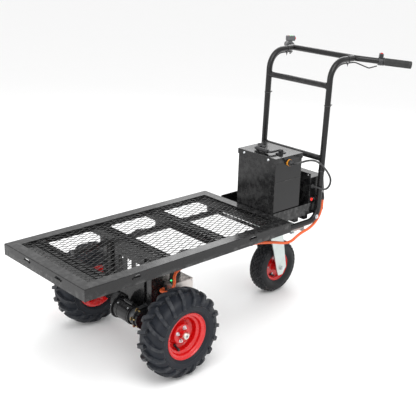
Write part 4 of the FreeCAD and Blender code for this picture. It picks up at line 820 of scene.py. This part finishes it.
def fasteners():
    """Dome screws in the battery lid, bolts round the gearcase and nuts under the caster plate."""
    shape = Shape()
    for y in (-27.0, 110.0):
        dome_screw(shape, aimed((-202.9, y, 672), X), 6.0, 1)
        dome_screw(shape, aimed((-368.9, y, 672), -X), 6.0, 1)
    for (cx, cz), reach, angles in ((MOTOR_AXIS, 33.5, (75, 10, -50)), (WHEEL_AXIS, 55.5, (125, 180, 235))):
        for angle in angles:
            x, z = cx + reach * math.cos(math.radians(angle)), cz + reach * math.sin(math.radians(angle))
            hex_bolt(shape, aimed((x, 128.0, z), -Y), 5.4, 4.4)
            shape.lathe(aimed((x, 137.2, z), Y), [(0, 2.6), (5, 2.6), (5.6, 2.0), (5.6, 0.01)], 16, 0,
                        capped=False)
    for side in (1, -1):
        for x in (-372.0, -308.0):
            hex_bolt(shape, aimed((x, side * 170, 349.8), -Z), 8.0, 6.0, 1)
    shape.mesh("bolts_and_screws", [GOLD, BOLT], "chassis", ["fasteners"], 0.25)


def weld(shape, a, b, radius=2.2, slot=0):
    """A rippled weld bead between two points in mm."""
    a, b = Vector(a), Vector(b)
    count = max(4, int((b - a).length / 1.6))
    line, radii = [], []
    for i in range(count + 1):
        jig = Vector((DICE.uniform(-1, 1), DICE.uniform(-1, 1), DICE.uniform(-1, 1))) * 0.18
        line.append((a.lerp(b, i / count) + jig) * MM)
        radii.append(radius * (0.82 + 0.18 * (i % 2)) + DICE.uniform(-0.12, 0.12))
    shape.tube(line, radii, 8, slot)


def welds():
    """Beads at the bed's corners, the rungs, the posts and the tube saddles."""
    shape = Shape()
    for x, way in ((800, -1), (-200, 1)):
        for side in (1, -1):
            weld(shape, (x + way * 5, side * 251, 441.4), (x + way * 43, side * 213, 441.4), 1.5)
            weld(shape, (x + way * 4.6, side * 251.4, 404), (x + way * 4.6, side * 251.4, 440), 1.9)
    for x, z in RUNGS:
        for side in (1, -1):
            ring = [Vector((x + 12.9 * math.cos(a), side * 157.6 + side * 2.4 * math.cos(2 * a),
                            z + 12.9 * math.sin(a))) for a in (2 * math.pi * i / 30 for i in range(31))]
            for p, q in zip(ring, ring[1:]):
                weld(shape, p, q, 1.5)
    for side in (1, -1):
        for x in (380, 435):
            weld(shape, (x, side * 124, 408.6), (x, side * 150, 408.6), 2.0)
        for x in (-160, 130):
            weld(shape, (x - 20, side * 178.4, 386), (x + 20, side * 178.4, 386), 2.0)
    shape.mesh("weld_beads", [FRAME], "chassis")


def controller_details():
    """End plates, screws, status light and plug block of the motor controller."""
    low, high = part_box("controller_case")
    x0, x1, y0, y1 = low.x / MM, high.x / MM, low.y / MM, high.y / MM
    z0, z1 = low.z / MM, high.z / MM
    shape = Shape()
    for y, way in ((y1, 1), (y0, -1)):
        face = aimed(((x0 + x1) / 2, y, (z0 + z1) / 2), Y * way)
        half_x, half_z = (x1 - x0) / 2 - 1.5, (z1 - z0) / 2 - 1.5
        wide, tall = (half_z, half_x)
        shape.block(face, -wide, wide, -tall, tall, 0, 1.6, 0)
        for a in (-1, 1):
            for b in (-1, 1):
                cross_screw(shape, face @ Matrix.Translation(mm(a * (wide - 5), b * (tall - 6), 1.6)), 3.0, 1)
    front = aimed((x1, (y0 + y1) / 2 + 40, (z0 + z1) / 2), X)
    shape.block(front, -13, 13, -17, 17, 0, 3.0, 2)
    for i in range(3):
        hex_bolt(shape, aimed((x1 - 6, y0 + 18 + 34 * i, z1 - 14), X), 4.2, 3.0, 1)
    light = aimed((x1, y0 + 100, z1 - 12), X)
    shape.lathe(light, [(0, 3.6), (1.2, 3.6), (1.6, 2.8)], 24, 2, capped=False)
    shape.lathe(light, [(0.8, 2.7), (2.0, 2.5), (2.9, 1.6), (3.1, 0.01)], 24, 3, capped=False)
    top = aimed((x1 - 22, y1 - 30, z1), Z)
    shape.lathe(top, [(0, 3.4), (1.0, 3.4), (1.4, 2.6), (2.2, 2.3), (2.8, 1.2), (2.9, 0.01)],
                24, 3, capped=False)
    gland = aimed((x1, 158, 291), X)
    shape.lathe(gland, [(-1, 7), (-1, 10.5), (4, 10.5), (5, 9.6), (5, 8.4), (7, 8.0), (7, 6.2)], 32, 2,
                closed=True)
    shape.mesh("controller_fittings", [ALU, BOLT, BLACK, GREEN_LIGHT], "chassis", (), 0.4)


def motor_details():
    """Through bolts, clamp screws, the brush cap and the terminal block of the motor."""
    shape = Shape()
    x, z = MOTOR_AXIS
    for angle in (25, 115, 205, 295):
        a = math.radians(angle)
        at = (x + 40.5 * math.cos(a), 8.0, z + 40.5 * math.sin(a))
        shape.hexagon(aimed(at, -Y), 3.4, 0, 3.0, 0)
    for y in (35.5, 95.5):
        screw = aimed((x + 24, y, z + 30.5), (0.62, 0, 0.78))
        shape.block(screw, -5, 5, -3.2, 3.2, -3, 4.5, 2)
        cross_screw(shape, screw @ Matrix.Translation(mm(0, 0, 4.5)), 2.8, 0)
    for y in (60, 76):
        shape.hexagon(aimed((x - 6, y, z - 41.0), -Z), 4.6, 0, 4.0, 0)
    cap = aimed((x + 5, 51.0, z + 44), -Y)
    shape.lathe(cap, [(0, 5.2), (1.4, 5.2), (2.0, 4.4), (2.0, 1.6), (1.2, 1.4), (1.2, 0.01)], 28, 1,
                capped=False)
    for i in range(14):
        a = 2 * math.pi * i / 14
        vent = aimed((x + 29 * math.cos(a), 7.8, z + 29 * math.sin(a)), -Y,
                     Vector((math.cos(a), 0, math.sin(a))))
        shape.block(vent, -6, 6, -1.4, 1.4, 0, 1.0, 2)
    shape.mesh("motor_fittings", [BOLT, STEEL, BLACK], "chassis", (), 0.3)


def power_box_details():
    """Cover screws, the ring round the lit switch, the charge socket's two screws and the lead's gland nut.
    """
    shape = Shape()
    low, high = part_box("power_box_cover")
    x, top = high.x / MM, high.z / MM
    for y in (-138, -46, 46, 138):
        for z in (top - 8, 416):
            cross_screw(shape, aimed((x, y, z), X), 3.6, 0)
    low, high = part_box("main_switch")
    at = (low + high) / 2 / MM
    ring = aimed((at.x, 150.0, at.z), Y)
    shape.lathe(ring, [(0, 7.0), (0, 9.6), (1.4, 9.6), (2.2, 8.8), (2.2, 7.0)], 40, 1, closed=True)
    gland = aimed((-444, 150, 522), Y)
    shape.hexagon(gland, 9.5, 0.0, 3.6, 1)
    shape.lathe(gland, [(3.6, 4.0), (3.6, 8.6), (6.6, 8.2), (9.4, 6.0), (9.4, 4.0)], 32, 1, closed=True)
    low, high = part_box("charge_port")
    at = (low + high) / 2 / MM
    for s in (1, -1):
        cross_screw(shape, aimed((at.x + s * 12.5, 150, at.z + 5), Y), 2.2, 0)
    for z in (424, 480, 536):
        for y in (-1, 1):
            cross_screw(shape, aimed((-517, y * 132, z), -X), 3.2, 0)
    shape.mesh("power_box_fittings", [BOLT, BLACK], "chassis", (), 0.3)


def battery_box_details():
    """Socket screws, the plug's knurled ring, the rivets of the case and the ribs round the bar on its lid.
    """
    shape = Shape()
    socket = aimed((SOCKET[0], 155.5, SOCKET[1]), Y)
    for s in (1, -1):
        cross_screw(shape, socket @ Matrix.Translation(mm(s * 11.6, 0, 0)), 1.7, 0)
    for i in range(22):
        a = 2 * math.pi * i / 22
        knurl = aimed((SOCKET[0] + 12.0 * math.cos(a), 156.4, SOCKET[1] + 12.0 * math.sin(a)), Y)
        shape.lathe(knurl, [(0, 0.8), (5.6, 0.8), (6.2, 0.3)], 8, 1)
    for z in (418, 660):
        for x in (-352, -220):
            cross_screw(shape, aimed((x, 149.5, z), Y), 2.8, 2)
    for z in (440, 520, 600):
        for x in (-352, -220):
            cross_screw(shape, aimed((x, -62.5, z), -Y), 2.8, 2)
    for i in range(7):
        y = 43.5 + (i - 3) * 8.2
        rib = aimed((-236, y - 1.2, 694), Y)
        shape.lathe(rib, [(0, 8.0), (0.4, 8.8), (2.0, 8.8), (2.4, 8.0)], 28, 3)
    shape.mesh("battery_box_fittings", [BOLT, BLACK, SHEET, CABLE], "chassis", (), 0.2)


def pod_details():
    """Charge lights, clamp screws and the thumb pad's ridges on the bar's controls."""
    shape = Shape()
    way = bar_way(-1)
    at = bar_at(GRIP_START - 27, -1)
    across = way.cross(Z).normalized()
    up = across.cross(way).normalized()
    up = up if up.z > 0 else -up
    turn = Matrix((across, up.cross(across), up)).transposed().to_4x4()
    for i, slot in enumerate((1, 2, 2)):
        spot = at + way * (10.0) + across * (-9 + 8 * i) + up * 45.9
        place = Matrix.Translation(spot * MM) @ turn
        shape.lathe(place, [(0, 1.9), (0.5, 1.8), (0.9, 1.0), (1.0, 0.01)], 18, slot, capped=False)
    for s in (-1, 1):
        spot = at + way * 11 + across * (s * 15) + up * -15.0
        place = Matrix.Translation(spot * MM) @ turn @ Matrix.Rotation(math.pi, 4, "X")
        dome_screw(shape, place, 2.6, 0)
    shape.mesh("throttle_fittings", [BOLT, RED_LIGHT, GREEN_LIGHT], "chassis", (), 0.15)


def chassis_details():
    """Bolts through the tube saddles and posts, and plugs in the open tube ends."""
    shape = Shape()
    for side in (1, -1):
        for x in (-160, 130):
            hex_bolt(shape, aimed((x, side * 178.2, 397), Y * side), 5.2, 4.0, 0)
        for x in (392, 423):
            hex_bolt(shape, aimed((x, side * 150.6, 392), Y * side), 5.6, 4.2, 0)
        hex_bolt(shape, aimed((-449, side * 183.2, 392), Y * side), 6.0, 4.6, 0)
        cap = aimed((560, side * 170, 372.5), X)
        shape.lathe(cap, [(-8, 10.4), (0, 10.7), (0, 12.5), (1.6, 12.4), (2.6, 11.0), (3.0, 0.01)], 36, 1,
                    capped=False)
    for x in (-384, -296):
        for side in (1, -1):
            hex_bolt(shape, aimed((x, side * 44, 352), -Z), 6.0, 4.6, 0)
    shape.mesh("chassis_fittings", [BOLT, BLACK], "chassis", (), 0.25)


def make_floor():
    """A plain pale floor that isn't part of the barrow."""
    data = bpy.data.meshes.new("studio_floor")
    half = 14.0
    corners = [(-half, -half, 0), (half, -half, 0), (half, half, 0), (-half, half, 0)]
    data.from_pydata(corners, [], [(0, 1, 2, 3)])
    floor = bpy.data.objects.new("studio_floor", data)
    f = Finish("pale_floor", (0.95, 0.95, 0.95), 0.85)
    f.tint(f.ramp(f.noise(2.0), 0.4, 0.7, 0.0, 0.3), (0.94, 0.94, 0.935))
    data.materials.append(f.material)
    SCENE.collection.objects.link(floor)


make_camera()
make_lights()
make_cords()
dress_kept_parts()
expanded_mesh()
for wheel_side, name in ((1, "left"), (-1, "right")):
    drive_tyre(name + "_tyre", wheel_side)
    drive_rim(name + "_rim", wheel_side)
    drive_hub(name, wheel_side)
    grip(name + "_grip", wheel_side)
caster_tyre()
caster_rim()
fasteners()
welds()
controller_details()
motor_details()
power_box_details()
battery_box_details()
pod_details()
chassis_details()
make_floor()
